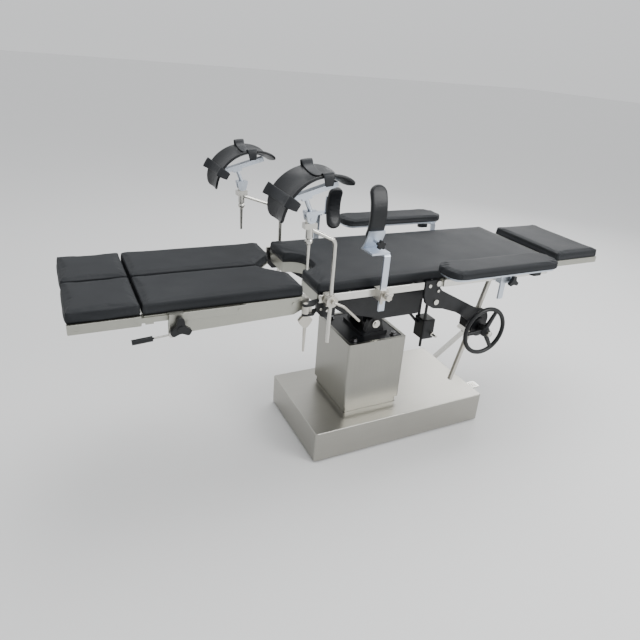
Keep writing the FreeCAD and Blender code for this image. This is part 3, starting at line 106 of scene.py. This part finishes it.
def setLights():
    world = bpy.data.worlds.new("studio")
    world.use_nodes = True
    tree = world.node_tree
    around = Wire(tree).node("ShaderNodeTexCoord")
    height = around.node("ShaderNodeSeparateXYZ", {}, {0: around}, 2)
    sky = height.mix(backdrop["horizon"], backdrop["zenith"])
    tree.links.new(sky.socket, tree.nodes["Background"].inputs["Color"])
    bpy.context.scene.world = world
    for name, lamp in lamps.items():
        light = bpy.data.lights.new(name, "AREA")
        light.energy, light.size = lamp["power"], lamp["size"]
        holder = bpy.data.objects.new(name, light)
        holder.location = lamp["place"]
        aim = Vector(lampAim) - Vector(lamp["place"])
        holder.rotation_euler = aim.to_track_quat("-Z", "Y").to_euler()
        bpy.context.collection.objects.link(holder)


# materials

class Wire:                     # a socket, so that shader sums read as plain sums
    def __init__(self, tree, socket=None):
        self.tree, self.socket = tree, socket

    def node(self, kind, settings=None, inputs=None, out=0):
        made = self.tree.nodes.new(kind)
        for key, value in (settings or {}).items():
            if key == "stops":
                while len(made.color_ramp.elements) < len(value):
                    made.color_ramp.elements.new(0.5)
                for stop, (at, colour) in zip(made.color_ramp.elements, value):
                    stop.position, stop.color = at, (*colour, 1)
            else:
                setattr(made, key, value)
        for key, value in (inputs or {}).items():
            if isinstance(value, Wire):
                self.tree.links.new(value.socket, made.inputs[key])
            else:
                made.inputs[key].default_value = value
        return Wire(self.tree, made.outputs[out])

    def sum(self, operation, first, second):
        return self.node("ShaderNodeMath", {"operation": operation}, {0: first, 1: second})

    def __add__(self, other):
        return self.sum("ADD", self, other)

    def __radd__(self, other):
        return self.sum("ADD", other, self)

    def __sub__(self, other):
        return self.sum("SUBTRACT", self, other)

    def __rsub__(self, other):
        return self.sum("SUBTRACT", other, self)

    def __mul__(self, other):
        return self.sum("MULTIPLY", self, other)

    def __rmul__(self, other):
        return self.sum("MULTIPLY", other, self)

    def __gt__(self, other):
        return self.sum("GREATER_THAN", self, other)

    def __lt__(self, other):
        return self.sum("LESS_THAN", self, other)

    def __abs__(self):
        return self.sum("ABSOLUTE", self, 0)

    def mix(self, first, second):       # self is the share of the second colour
        colours = {6: first if isinstance(first, Wire) else (*first, 1),
                   7: second if isinstance(second, Wire) else (*second, 1)}
        return self.node("ShaderNodeMix", {"data_type": "RGBA"}, {0: self, **colours}, 2)

    def ramp(self, *stops):
        return self.node("ShaderNodeValToRGB", {"stops": stops}, {0: self})

    def grain(self, scale, detail=4, rough=0.55, stretch=(1, 1, 1)):
        moved = self.node("ShaderNodeMapping", inputs={"Vector": self, "Scale": stretch})
        return self.node("ShaderNodeTexNoise", {}, {"Vector": moved, "Scale": scale, "Detail": detail,
                                                    "Roughness": rough})

    def bump(self, strength, distance):
        return self.node("ShaderNodeBump", {}, {"Height": self, "Strength": strength, "Distance": distance})


def newMaterial(name, constants):
    made = bpy.data.materials.new(name)
    made.use_nodes = True
    surface = made.node_tree.nodes["Principled BSDF"]
    for key, value in constants.items():
        surface.inputs[key].default_value = value
    place = Wire(made.node_tree).node("ShaderNodeTexCoord", out=3)

    def feed(**wires):
        for key, wire in wires.items():
            made.node_tree.links.new(wire.socket, surface.inputs[key.replace("_", " ")])
    return made, place, feed


def leatherette(name, dark, light, pores, creases, rough, shine):
    made, place, feed = newMaterial(name, {"Specular IOR Level": shine})
    cloud = place.grain(4.5, 3)
    cells = place.node("ShaderNodeTexVoronoi", {"feature": "DISTANCE_TO_EDGE"},
                       {"Vector": place, "Scale": pores})
    fine = place.grain(pores * 1.7, 2)
    folds = place.grain(24, 5, 0.6, (1, 1, 1.5))
    tone = (0.75 * cloud + 0.25 * fine).ramp((0.35, (0, 0, 0)), (0.65, (1, 1, 1)))
    feed(Base_Color=tone.mix(dark, light), Roughness=rough + 0.14 * fine - 0.10 * cloud,
         Normal=(0.3 * cells + 0.15 * fine + creases * folds).bump(0.35, 0.0014))
    return made


def duller(tint):               # the same metal under finger marks
    return [0.88 * c for c in tint]


def brushedSteel(name, tint, stretch, rough):
    made, place, feed = newMaterial(name, {"Metallic": 1.0})
    streaks = place.grain(1.0, 5, 0.6, stretch)
    smudge = place.grain(6, 4, 0.6)
    tone = (0.6 * streaks + 0.4 * smudge).ramp((0.3, (0, 0, 0)), (0.7, (1, 1, 1)))
    feed(Base_Color=tone.mix(duller(tint), tint), Roughness=rough + 0.14 * streaks + 0.12 * smudge,
         Normal=streaks.bump(0.05, 0.0004))
    return made


def plated(name, tint, rough, dull):
    made, place, feed = newMaterial(name, {"Metallic": 1.0})
    smudge = place.grain(20, 4, 0.6)
    fine = place.grain(300, 3)
    feed(Base_Color=smudge.mix(duller(tint), tint), Roughness=rough + dull * fine + 0.12 * smudge,
         Normal=fine.bump(0.06, 0.0003))
    return made


# where the black knobs and grips of plated nodes begin, at rest
knobs = {"tint": (0.007, 0.008, 0.009), "boardTop": 0.781, "postFace": 0.287, "postTop": 0.757,
         "supportFace": 0.271, "supportLow": 0.900, "leverGrip": -1.000}


def knobbed(name, tint, rough, where):      # plated metal, black plastic where the given test is 1
    made, place, feed = newMaterial(name, {"Specular IOR Level": 0.35})
    black = where(*(place.node("ShaderNodeSeparateXYZ", {}, {0: place}, axis) for axis in range(3)))
    smudge = place.grain(20, 4, 0.6)
    fine = place.grain(300, 3)
    metal = smudge.mix(duller(tint), tint)
    feed(Base_Color=black.mix(metal, knobs["tint"]), Metallic=1 - black,
         Roughness=rough + 0.08 * fine + 0.10 * smudge, Normal=fine.bump(0.08, 0.0003))
    return made


def enamel(name, tint, rough, peel):
    made, place, feed = newMaterial(name, {"Specular IOR Level": 0.32})
    skin = place.grain(420, 2)
    dust = place.grain(12, 5, 0.65)
    worn = dust.ramp((0.45, (0, 0, 0)), (0.85, (1, 1, 1)))
    feed(Base_Color=worn.mix(tint, [1.9 * c + 0.004 for c in tint]), Roughness=rough + 0.16 * dust,
         Normal=skin.bump(peel, 0.0004))
    return made


cushionSkin = leatherette("cushionSkin", (0.013, 0.0145, 0.0165), (0.019, 0.0205, 0.0225), 620, 0.05,
                          0.58, 0.16)
glossySkin = leatherette("glossySkin", (0.006, 0.007, 0.008), (0.011, 0.012, 0.014), 420, 2.2, 0.34, 0.30)
webbing = leatherette("webbing", (0.008, 0.009, 0.011), (0.016, 0.018, 0.021), 900, 0.3, 0.38, 0.30)
seamThread = leatherette("seamThread", (0.010, 0.011, 0.013), (0.016, 0.018, 0.020), 1500, 0.0, 0.6, 0.2)
topSteel = brushedSteel("topSteel", (0.40, 0.40, 0.355), (5, 420, 420), 0.26)
columnSteel = brushedSteel("columnSteel", (0.33, 0.325, 0.295), (420, 420, 4), 0.24)
baseSteel = brushedSteel("baseSteel", (0.42, 0.41, 0.375), (4, 380, 380), 0.22)
railSteel = brushedSteel("railSteel", (0.70, 0.69, 0.65), (6, 500, 500), 0.18)
brightTint, blueTint = (0.60, 0.59, 0.55), (0.58, 0.63, 0.70)
brightPlate = plated("brightPlate", brightTint, 0.16, 0.04)
castPlate = plated("castPlate", (0.55, 0.53, 0.48), 0.28, 0.10)
darkBolt = plated("darkBolt", (0.16, 0.16, 0.165), 0.22, 0.08)
paleAluminium = plated("paleAluminium", blueTint, 0.34, 0.12)
boardPlate = knobbed("boardPlate", blueTint, 0.34, lambda x, y, z: z < knobs["boardTop"])
armPostPlate = knobbed("armPostPlate", blueTint, 0.34,
                       lambda x, y, z: (abs(y) > knobs["postFace"]) * (z < knobs["postTop"]))
supportPlate = knobbed("supportPlate", blueTint, 0.34,
                       lambda x, y, z: (abs(y) > knobs["supportFace"]) * (z > knobs["supportLow"]))
leverPlate = knobbed("leverPlate", brightTint, 0.20, lambda x, y, z: x < knobs["leverGrip"])
blackPaint = enamel("blackPaint", (0.006, 0.0065, 0.0075), 0.26, 0.12)
blackPlastic = enamel("blackPlastic", (0.006, 0.0065, 0.007), 0.30, 0.16)
blackRubber = enamel("blackRubber", (0.014, 0.014, 0.015), 0.60, 0.3)


def plainFloor(name, tint):
    made, place, feed = newMaterial(name, {"Specular IOR Level": 0.2})
    cloud = place.grain(0.8, 2)
    feed(Base_Color=cloud.mix([0.985 * c for c in tint], tint), Roughness=0.66 + 0.06 * cloud)
    return made


paleFloor = plainFloor("paleFloor", backdrop["floor"])

finishes = {
    "base_cover": baseSteel, "outer_column_cover": columnSteel, "inner_column_cover": columnSteel,
    "base_frame": blackPaint, "levelling_feet": blackRubber, "hydraulic_cylinder": castPlate,
    "pump_pedal": brightPlate, "release_pedal": brightPlate, "column_head": blackPaint,
    "column_bolts": darkBolt, "lift_ram": brightPlate, "cross_block": blackPaint, "pitch_pin": brightPlate,
    "seat_frame": blackPaint, "seat_end_apron": topSteel, "seat_rails": railSteel, "back_rails": railSteel,
    "hinge_castings": blackPaint, "frame_bolts": brightPlate, "tilt_gearbox": blackPaint,
    "tilt_crank": brightPlate, "back_frame": topSteel, "lead_screw": castPlate, "back_gearbox": blackPaint,
    "handwheel": blackPlastic, "head_frame": topSteel, "accessory_clamps": castPlate,
    "arm_board_posts": armPostPlate, "leg_swing": castPlate, "leg_frame": topSteel, "foot_frame": topSteel,
    "leg_lever": leverPlate, "foot_knob": blackPlastic, "crutch_rod": brightPlate,
    "crutch_frame": paleAluminium, "support_post": supportPlate, "arm_board": boardPlate,
}


def finishOf(name):
    for side in sides:
        name = name.removesuffix("_" + side)
    return finishes.get(name, cushionSkin)


for name, node in nodes.items():
    if not node.material_slots:
        node.data.materials.append(finishOf(name))
    for holder in node.material_slots:
        holder.material = finishOf(name)
setCamera()
setLights()
print("materials, camera and lights set")


# making pieces

def addPiece(name, bm, material, body, smooth=True):
    bmesh.ops.recalc_face_normals(bm, faces=bm.faces[:])
    mesh = bpy.data.meshes.new(name)
    bm.to_mesh(mesh)
    bm.free()
    for face in mesh.polygons:
        face.use_smooth = smooth
    mesh.materials.append(material)
    piece = bpy.data.objects.new(name, mesh)
    bpy.context.collection.objects.link(piece)
    if body:
        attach(piece, body)
    return piece


def prism(corners, low, high):          # corners as (x, y, radius)
    bm = bmesh.new()
    points = [bm.verts.new((x, y, low)) for x, y, _ in corners]
    bm.faces.new(points)
    for radius in sorted({r for _, _, r in corners if r > 0}):
        chosen = [p for p, (_, _, r) in zip(points, corners) if r == radius]
        bmesh.ops.bevel(bm, geom=chosen, affect="VERTICES", offset=radius, segments=8, profile=0.5,
                        material=-1)
    grown = bmesh.ops.extrude_face_region(bm, geom=bm.faces[:])
    lifted = [v for v in grown["geom"] if isinstance(v, bmesh.types.BMVert)]
    bmesh.ops.translate(bm, verts=lifted, vec=(0, 0, high - low))
    bmesh.ops.recalc_face_normals(bm, faces=bm.faces[:])
    return bm


def roundEdges(bm, offset, segments=2, sharper=0.6):
    edges = [e for e in bm.edges if len(e.link_faces) == 2 and e.calc_face_angle(0) > sharper]
    bmesh.ops.bevel(bm, geom=edges, affect="EDGES", offset=offset, segments=segments, profile=0.5,
                    material=-1)


def tube(path, radius, closed=False, around=8):
    bm = bmesh.new()
    points = [Vector(p) for p in path]
    count = len(points)
    ring = None
    for i, here in enumerate(points):
        before = points[i - 1] if closed or i else here
        after = points[(i + 1) % count] if closed or i < count - 1 else here
        way = (after - before).normalized()
        turn = Vector((0, 0, 1)).rotation_difference(way).to_matrix()
        if ring is None:
            ring = bmesh.ops.create_circle(bm, segments=around, radius=radius)["verts"]
            lastTurn, lastPlace = Matrix.Identity(3), Vector()
            edges = firstEdges = bm.edges[:]
        else:
            grown = bmesh.ops.extrude_edge_only(bm, edges=edges)["geom"]
            ring = [g for g in grown if isinstance(g, bmesh.types.BMVert)]
            edges = [g for g in grown if isinstance(g, bmesh.types.BMEdge)]
            turn = lastWay.rotation_difference(way).to_matrix() @ lastTurn
        for vert in ring:
            vert.co = here + turn @ (lastTurn.inverted() @ (vert.co - lastPlace))
        lastTurn, lastPlace, lastWay = turn, here, way
    if closed:
        bmesh.ops.bridge_loops(bm, edges=firstEdges + edges)
    else:
        bmesh.ops.holes_fill(bm, edges=bm.edges[:])
    bmesh.ops.recalc_face_normals(bm, faces=bm.faces[:])
    return bm


def lathe(profile, place, axis, steps=32):      # profile as (radius, along), spun about the axis
    bm = bmesh.new()
    points = [bm.verts.new((r, 0, z)) for r, z in profile]
    edges = [bm.edges.new(pair) for pair in zip(points, points[1:])]
    bmesh.ops.spin(bm, geom=points + edges, cent=(0, 0, 0), axis=(0, 0, 1), angle=math.tau, steps=steps,
                   use_merge=True)
    bmesh.ops.remove_doubles(bm, verts=bm.verts[:], dist=1e-6)
    turn = Vector((0, 0, 1)).rotation_difference(Vector(axis)).to_matrix()
    bmesh.ops.transform(bm, matrix=Matrix.Translation(place) @ turn.to_4x4(), verts=bm.verts[:])
    return bm


def applied(piece):             # the mesh as the modifiers leave it
    graph = bpy.context.evaluated_depsgraph_get()
    mesh = bpy.data.meshes.new_from_object(piece.evaluated_get(graph))
    piece.modifiers.clear()
    piece.data = mesh
    for face in mesh.polygons:
        face.use_smooth = True


def smoothed(piece):
    smooth = piece.modifiers.new("smooth", "SUBSURF")
    smooth.levels = smooth.render_levels = 1


def remeshed(piece, voxel):
    net = piece.modifiers.new("net", "REMESH")
    net.mode, net.voxel_size = "VOXEL", voxel
    applied(piece)


foam = {"pressure": 4.0, "stiff": 40, "quality": 4, "frames": 20, "cap": 0.004, "waves": 0.0005,
        "waveScale": 14}


def puff(piece, held, cap=foam["cap"]):         # held picks the vertices that stay glued down
    mesh = piece.data
    start = [v.co.copy() for v in mesh.vertices]
    outward = [v.normal.copy() for v in mesh.vertices]
    pins = piece.vertex_groups.new(name="glued")
    pins.add([v.index for v in mesh.vertices if held(v.co)], 1.0, "REPLACE")
    cloth = piece.modifiers.new("foam", "CLOTH")
    cloth.settings.use_pressure = True
    cloth.settings.uniform_pressure_force = foam["pressure"]
    cloth.settings.effector_weights.gravity = 0
    cloth.settings.vertex_group_mass = "glued"
    cloth.settings.tension_stiffness = cloth.settings.compression_stiffness = foam["stiff"]
    cloth.settings.quality = foam["quality"]
    cloth.point_cache.frame_start, cloth.point_cache.frame_end = 1, foam["frames"]
    for at in range(1, foam["frames"] + 1):
        bpy.context.scene.frame_set(at)
    swollen = piece.evaluated_get(bpy.context.evaluated_depsgraph_get()).to_mesh()
    moved = [v.co.copy() for v in swollen.vertices]
    piece.modifiers.clear()
    piece.vertex_groups.clear()
    bpy.context.scene.frame_set(1)
    for vert, old, new, normal in zip(mesh.vertices, start, moved, outward):
        step = new - old
        if step.length > cap:
            step = step.normalized() * cap
        if not held(old):
            step += normal * foam["waves"] * noise.noise(old * foam["waveScale"])
        vert.co = old + step


def inset(points, by):          # closed outline drawn in by a small step
    count = len(points)
    area = sum(points[i - 1][0] * points[i][1] - points[i][0] * points[i - 1][1] for i in range(count))
    drawn = []
    for i, here in enumerate(points):
        way = (Vector(points[(i + 1) % count]) - Vector(points[i - 1])).normalized()
        inward = Vector((-way.y, way.x)) * (1 if area > 0 else -1)
        drawn.append(Vector(here) + inward * by)
    return drawn


def stepped(points, step):      # closed path with no stretch longer than the step
    path = []
    for i, here in enumerate(points):
        after = Vector(points[(i + 1) % len(points)])
        here = Vector(here)
        pieces = max(1, math.ceil((after - here).length / step))
        path += [here.lerp(after, k / pieces) for k in range(pieces)]
    return path


def outlineOf(bm, high):
    top = max((f for f in bm.faces if f.calc_center_median().z > high - 1e-5), key=lambda f: f.calc_area())
    return [loop.vert.co.xy.copy() for loop in top.loops]


def seamBead(name, piece, outline, body, spec):
    mesh = piece.data
    tree = BVHTree.FromPolygons([v.co for v in mesh.vertices], [p.vertices for p in mesh.polygons])
    path = []
    for point in stepped(inset(outline, spec["inset"]), spec["step"]):
        hit = tree.ray_cast(Vector((point.x, point.y, spec["above"])), Vector((0, 0, -1)))[0]
        if hit:
            path.append(hit + Vector((0, 0, spec["proud"])))
    bead = tube(path, spec["radius"], closed=True, around=6)
    return addPiece(name, bead, seamThread, body)


# cushions of the table top

cushion = {"start": 0.0012, "lid": 0.0022, "edge": 0.003, "sharp": 1.2, "gap": 0.0004, "glued": 0.003,
           "voxel": 0.005, "mattressVoxel": 0.006, "fill": 0.95}
seam = {"inset": 0.0042, "radius": 0.0009, "proud": 0.0001, "step": 0.012, "above": 2.0}
cutout = {"half": 0.088, "deep": 0.076, "mouth": 0.006, "corner": 0.050, "taper": 0.012}
legCut = {"half": 0.101, "x": -0.585, "inner": 0.020, "back": 0.012, "middle": 0.003}


def shrunk(corners, by):
    plain = [(x, y) for x, y, _ in corners]
    return [(p.x, p.y, r) for p, (_, _, r) in zip(inset(plain, by), corners)]


def makeCushion(name, corners, low, high, body, replaced, voxel, seat=None):
    bm = prism(shrunk(corners, cushion["start"]), low + cushion["gap"], high - cushion["lid"])
    outline = outlineOf(bm, high - cushion["lid"])
    rim = [e for e in bm.edges if len(e.link_faces) == 2 and e.calc_face_angle(0) > cushion["sharp"]
           and all(v.co.z > high - cushion["lid"] - 1e-5 for v in e.verts)]
    bmesh.ops.bevel(bm, geom=rim, affect="EDGES", offset=cushion["edge"], segments=2, profile=0.5,
                    material=-1)
    piece = addPiece(name, bm, cushionSkin, None)
    remeshed(piece, voxel)
    puff(piece, lambda co: co.z < low + cushion["glued"])
    if seat:
        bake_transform(piece)
        bead = seamBead(name + "_seam", piece, outline, None, seam)
        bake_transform(bead)
    else:
        smoothed(piece)
        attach(piece, body)
        seamBead(name + "_seam", piece, outline, body, seam)
    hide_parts(*replaced)


def makeMattress():
    low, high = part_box("seat_pad")
    end, half = low.x, high.y
    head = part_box("back_pad")[1].x
    deep = end + cutout["deep"]
    mouth = cutout["half"]
    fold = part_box("mattress_fold")
    corners = [(end, -half, 0.010), (head, -half, 0.012), (head, half, 0.012), (end, half, 0.010),
               (end, mouth, cutout["mouth"]), (deep, mouth - cutout["taper"], cutout["corner"]),
               (deep, cutout["taper"] - mouth, cutout["corner"]), (end, -mouth, cutout["mouth"])]
    bend = ("seat", "back", (fold[0].x, 0, low.z), (fold[1].x, 0, low.z))
    makeCushion("mattress", corners, low.z, high.z, None, ("seat_pad", "mattress_fold", "back_pad"),
                cushion["mattressVoxel"], bend)


def makeLegCushion(side, way):
    low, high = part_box("leg_pad_" + side)
    outer = way * max(abs(low.y), abs(high.y))
    middle = way * legCut["middle"]
    corners = [(low.x, outer, 0.006), (high.x, outer, 0.010), (high.x, way * legCut["half"], 0.012),
               (legCut["x"], way * legCut["inner"], 0.012), (legCut["x"] - legCut["back"], middle, 0.006),
               (low.x, middle, 0.006)]
    makeCushion("leg_cushion_" + side, corners, low.z, high.z, "leg_" + side, ("leg_pad_" + side,),
                cushion["voxel"])


def makePlainCushion(name, node, body, corner):
    low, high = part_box(node)
    corners = [(low.x, low.y, corner), (high.x, low.y, corner), (high.x, high.y, corner),
               (low.x, high.y, corner)]
    makeCushion(name, corners, low.z, high.z, body, (node,), cushion["voxel"])


makeMattress()
print("mattress made")
makePlainCushion("head_cushion", "head_pad", "head", 0.012)
for side, way in sides.items():
    makeLegCushion(side, way)
    makePlainCushion("foot_cushion_" + side, "foot_pad_" + side, "foot_" + side, 0.010)
    makePlainCushion("arm_cushion_" + side, "arm_pad_" + side, "arm_board_" + side, 0.052)
print("cushions made")


# knee crutches: dished troughs on an arc about Y, with two straps through each

crutch = {"head": {"near": (-0.522, 1.028), "far": (-0.560, 0.996)}, "y": 0.281, "slope": 16.8,
          "above": 0.084, "ahead": 0.002, "channel": 0.168, "channelHeight": 0.016, "gap": 0.0003,
          "saddle": 0.130, "skin": 0.010, "dish": 0.190, "half": 0.078, "start": -88, "end": 35,
          "tongue": 0.52, "tongueShare": 0.34, "blunt": 0.80, "bluntShare": 0.16,
          "slack": 0.001, "edge": 0.0034, "sharp": 1.1, "glued": 0.0035, "cap": 0.0012, "fill": 0.9}
strap = {"angles": (-60.0, -6.0), "half": 6.6, "thick": 0.0024, "lift": 0.015, "drop": 0.036}


def troughCentre(side):
    x, z = crutch["head"][side]
    slope = math.radians(crutch["slope"])
    upright = Vector((-math.sin(slope), 0, math.cos(slope)))
    rest = math.sqrt(crutch["saddle"] ** 2 - (crutch["channel"] / 2) ** 2)
    middle = Vector((x + crutch["ahead"], sides[side] * crutch["y"], z + crutch["above"]))
    return middle + upright * (crutch["channelHeight"] / 2 + crutch["gap"] - rest)


def dishHeight(across):         # inner face's distance from the arc's axis
    dish = crutch["dish"]
    return crutch["saddle"] + crutch["skin"] + dish - math.sqrt(dish * dish - across * across)


def onTrough(side, angle, across, radius):
    centre = troughCentre(side)
    return centre + Vector((radius * math.sin(angle), across, radius * math.cos(angle)))


def troughWidth(share):         # half width along the trough, narrowing to the tongue at the leg end
    leg = min(1.0, share / crutch["tongueShare"])
    head = min(1.0, (1 - share) / crutch["bluntShare"])
    legRound = math.sqrt(1 - (1 - leg) ** 2)
    headRound = math.sqrt(1 - (1 - head) ** 2)
    return crutch["half"] * (crutch["tongue"] + (1 - crutch["tongue"]) * legRound) \
        * (crutch["blunt"] + (1 - crutch["blunt"]) * headRound)


def makeTrough(side):
    bm = bmesh.new()
    bmesh.ops.create_grid(bm, x_segments=48, y_segments=24, size=1)
    start, end = math.radians(crutch["start"]), math.radians(crutch["end"])
    for vert in bm.verts:
        share = (vert.co.x + 1) / 2
        across = vert.co.y * troughWidth(share)
        angle = start + (end - start) * share
        vert.co = onTrough(side, angle, across, dishHeight(across))
    bmesh.ops.recalc_face_normals(bm, faces=bm.faces[:])
    centre = troughCentre(side)
    face = bm.faces[:][0]
    if face.normal.dot(face.calc_center_median() - centre) < 0:
        bmesh.ops.reverse_faces(bm, faces=bm.faces[:])
    bmesh.ops.solidify(bm, geom=bm.faces[:], thickness=crutch["skin"] - crutch["slack"])
    roundEdges(bm, crutch["edge"], 3, crutch["sharp"])
    piece = addPiece("crutch_trough_" + side, bm, glossySkin, None)
    outside = crutch["saddle"] + crutch["glued"]
    puff(piece, lambda co: Vector((co.x - centre.x, co.z - centre.z)).length < outside
         + dishHeight(co.y - centre.y) - dishHeight(0), crutch["cap"])
    smoothed(piece)
    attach(piece, "crutch_saddle_" + side)
    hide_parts("crutch_pad_" + side)


def strapPath():                # (across, radius) from the loose end under the outer rim to the inner side
    half = crutch["half"]
    rim = dishHeight(half)
    lift, drop, thick = strap["lift"], strap["drop"], strap["thick"]
    path = [(-half - 0.006, rim - drop), (-half - 0.0062, rim - 0.010), (-half - 0.004, rim + 0.0035),
            (-half + 0.004, rim + 0.0045)]
    for k in range(13):
        across = -half + 0.012 + (2 * half - 0.026) * k / 12
        path.append((across, dishHeight(across) + thick * 0.6 + 0.0006))
    path += [(half - 0.008, rim + 0.006), (half - 0.0055, rim + lift * 0.75), (half - 0.001, rim + lift),
             (half + 0.0045, rim + lift * 0.8), (half + 0.0065, rim + 0.002), (half + 0.0068, rim - 0.018)]
    return path


def makeStrap(side, number, middle):
    path = strapPath()          # the loose end hangs on the operator's side of both troughs
    bm = bmesh.new()
    bmesh.ops.create_grid(bm, x_segments=len(path) - 1, y_segments=6, size=1)
    for vert in bm.verts:
        place = round((vert.co.x + 1) / 2 * (len(path) - 1))
        across, radius = path[place]
        angle = math.radians(middle + strap["half"] * vert.co.y)
        vert.co = onTrough(side, angle, across, radius)
    bmesh.ops.recalc_face_normals(bm, faces=bm.faces[:])
    bmesh.ops.solidify(bm, geom=bm.faces[:], thickness=strap["thick"])
    bmesh.ops.recalc_face_normals(bm, faces=bm.faces[:])
    piece = addPiece("crutch_strap_%s_%d" % (side, number), bm, webbing, None)
    smoothed(piece)
    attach(piece, "crutch_saddle_" + side)


for side in sides:
    makeTrough(side)
    for number, middle in enumerate(strap["angles"]):
        makeStrap(side, number, middle)
print("crutch troughs made")


# body support pads, bowed towards the patient

support = {"radius": 0.190, "thick": 0.022, "corner": 0.030, "voxel": 0.004, "shorter": 0.002,
           "narrower": 0.0012, "gap": 0.0006, "lid": 0.002, "edge": 0.004, "sharp": 1.2, "glued": 0.003,
           "cap": 0.003, "fill": 0.9}


def makeSupportCushion(side, way):
    low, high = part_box("support_pad_" + side)
    centreY = way * (max(abs(low.y), abs(high.y)) - support["radius"])
    middle = (low.z + high.z) / 2
    tall = (high.z - low.z) / 2
    reach = support["radius"] * math.asin(tall / support["radius"]) - support["shorter"]
    half = (high.x - low.x) / 2 - support["narrower"]
    x = (low.x + high.x) / 2
    r = support["corner"]
    bm = prism([(x - half, -reach, r), (x + half, -reach, r), (x + half, reach, r), (x - half, reach, r)],
               support["gap"], support["thick"] - support["lid"])
    roundEdges(bm, support["edge"], 2, support["sharp"])
    piece = addPiece("support_cushion_" + side, bm, glossySkin, None)
    remeshed(piece, support["voxel"])
    for vert in piece.data.vertices:
        angle = vert.co.y / support["radius"]
        radius = support["radius"] - vert.co.z
        vert.co = (vert.co.x, centreY + way * radius * math.cos(angle), middle + radius * math.sin(angle))
    if way < 0:
        piece.data.flip_normals()
    edge = support["radius"] - support["glued"]
    puff(piece, lambda co: Vector((co.y - centreY, co.z - middle)).length > edge, support["cap"])
    smoothed(piece)
    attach(piece, "support_" + side)
    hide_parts("support_pad_" + side)


for side, way in sides.items():
    makeSupportCushion(side, way)
print("support pads made")


# handwheel, with its rim, spokes, hub, knob and shaft

# outlines as (radius, towards the operator)
wheel = {"centre": (0.291, -0.292, 0.513), "radius": 0.097, "rim": 0.009, "spokes": (181, 61, -59),
         "hub": [(0, -0.022), (0.020, -0.022), (0.022, -0.019), (0.022, 0.006), (0.020, 0.011),
                 (0.0165, 0.014), (0.0150, 0.0165), (0.0145, 0.022), (0, 0.022)],
         "knob": [(0, 0.0215), (0.0105, 0.0215), (0.0110, 0.023), (0.0110, 0.034), (0.0100, 0.036),
                  (0.004, 0.0366), (0, 0.0366)],
         "shaft": [(0, -0.058), (0.0098, -0.058), (0.0098, -0.020), (0, -0.020)]}
# a spoke's distance, width and depth at the hub and at the rim
spoke = {"reach": (0.012, 0.092), "depth": (0.013, 0.012), "width": (0.021, 0.014), "round": 0.004}


def lathed(name, outline, material):
    bm = lathe(wheel[outline], wheel["centre"], (0, -1, 0))
    addPiece(name, bm, material, "handwheel")


def makeHandwheel():
    x, y, z = wheel["centre"]
    bm = bmesh.new()
    circle = bmesh.ops.create_circle(bm, segments=20, radius=wheel["rim"],
                                     matrix=Matrix.Translation((wheel["radius"], 0, 0))
                                     @ Matrix.Rotation(math.radians(90), 4, "X"))["verts"]
    bmesh.ops.spin(bm, geom=circle + bm.edges[:], cent=(0, 0, 0), axis=(0, 0, 1), angle=math.tau, steps=72,
                   use_merge=True)
    bmesh.ops.transform(bm, matrix=Matrix.Translation((x, y, z)) @ Matrix.Rotation(math.radians(90), 4, "X"),
                        verts=bm.verts[:])
    rim = addPiece("wheel_rim", bm, blackPlastic, "handwheel")
    lathed("wheel_hub", "hub", blackPlastic)
    lathed("wheel_knob", "knob", brightPlate)
    lathed("wheel_shaft", "shaft", brightPlate)
    for number, degrees in enumerate(wheel["spokes"]):
        bar = bmesh.new()
        for vert in bmesh.ops.create_cube(bar, size=1)["verts"]:
            end = 1 if vert.co.x > 0 else 0
            vert.co = Vector((spoke["reach"][end], vert.co.y * spoke["depth"][end],
                              vert.co.z * spoke["width"][end]))
        roundEdges(bar, spoke["round"], 4)
        bmesh.ops.rotate(bar, verts=bar.verts[:], cent=(0, 0, 0),
                         matrix=Matrix.Rotation(math.radians(-degrees), 3, "Y"))
        bmesh.ops.translate(bar, verts=bar.verts[:], vec=(x, y, z))
        addPiece("wheel_spoke_%d" % number, bar, blackPlastic, "handwheel")
    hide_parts("handwheel")


makeHandwheel()
print("handwheel made")


# floor

def layFloor():
    bm = bmesh.new()
    bmesh.ops.create_grid(bm, x_segments=1, y_segments=1, size=backdrop["half"])
    mesh = bpy.data.meshes.new("studioFloor")
    bm.to_mesh(mesh)
    bm.free()
    mesh.materials.append(paleFloor)
    ground = bpy.data.objects.new("studioFloor", mesh)
    ground.location.z = -backdrop["drop"]
    bpy.context.collection.objects.link(ground)


layFloor()
print("scene ready")
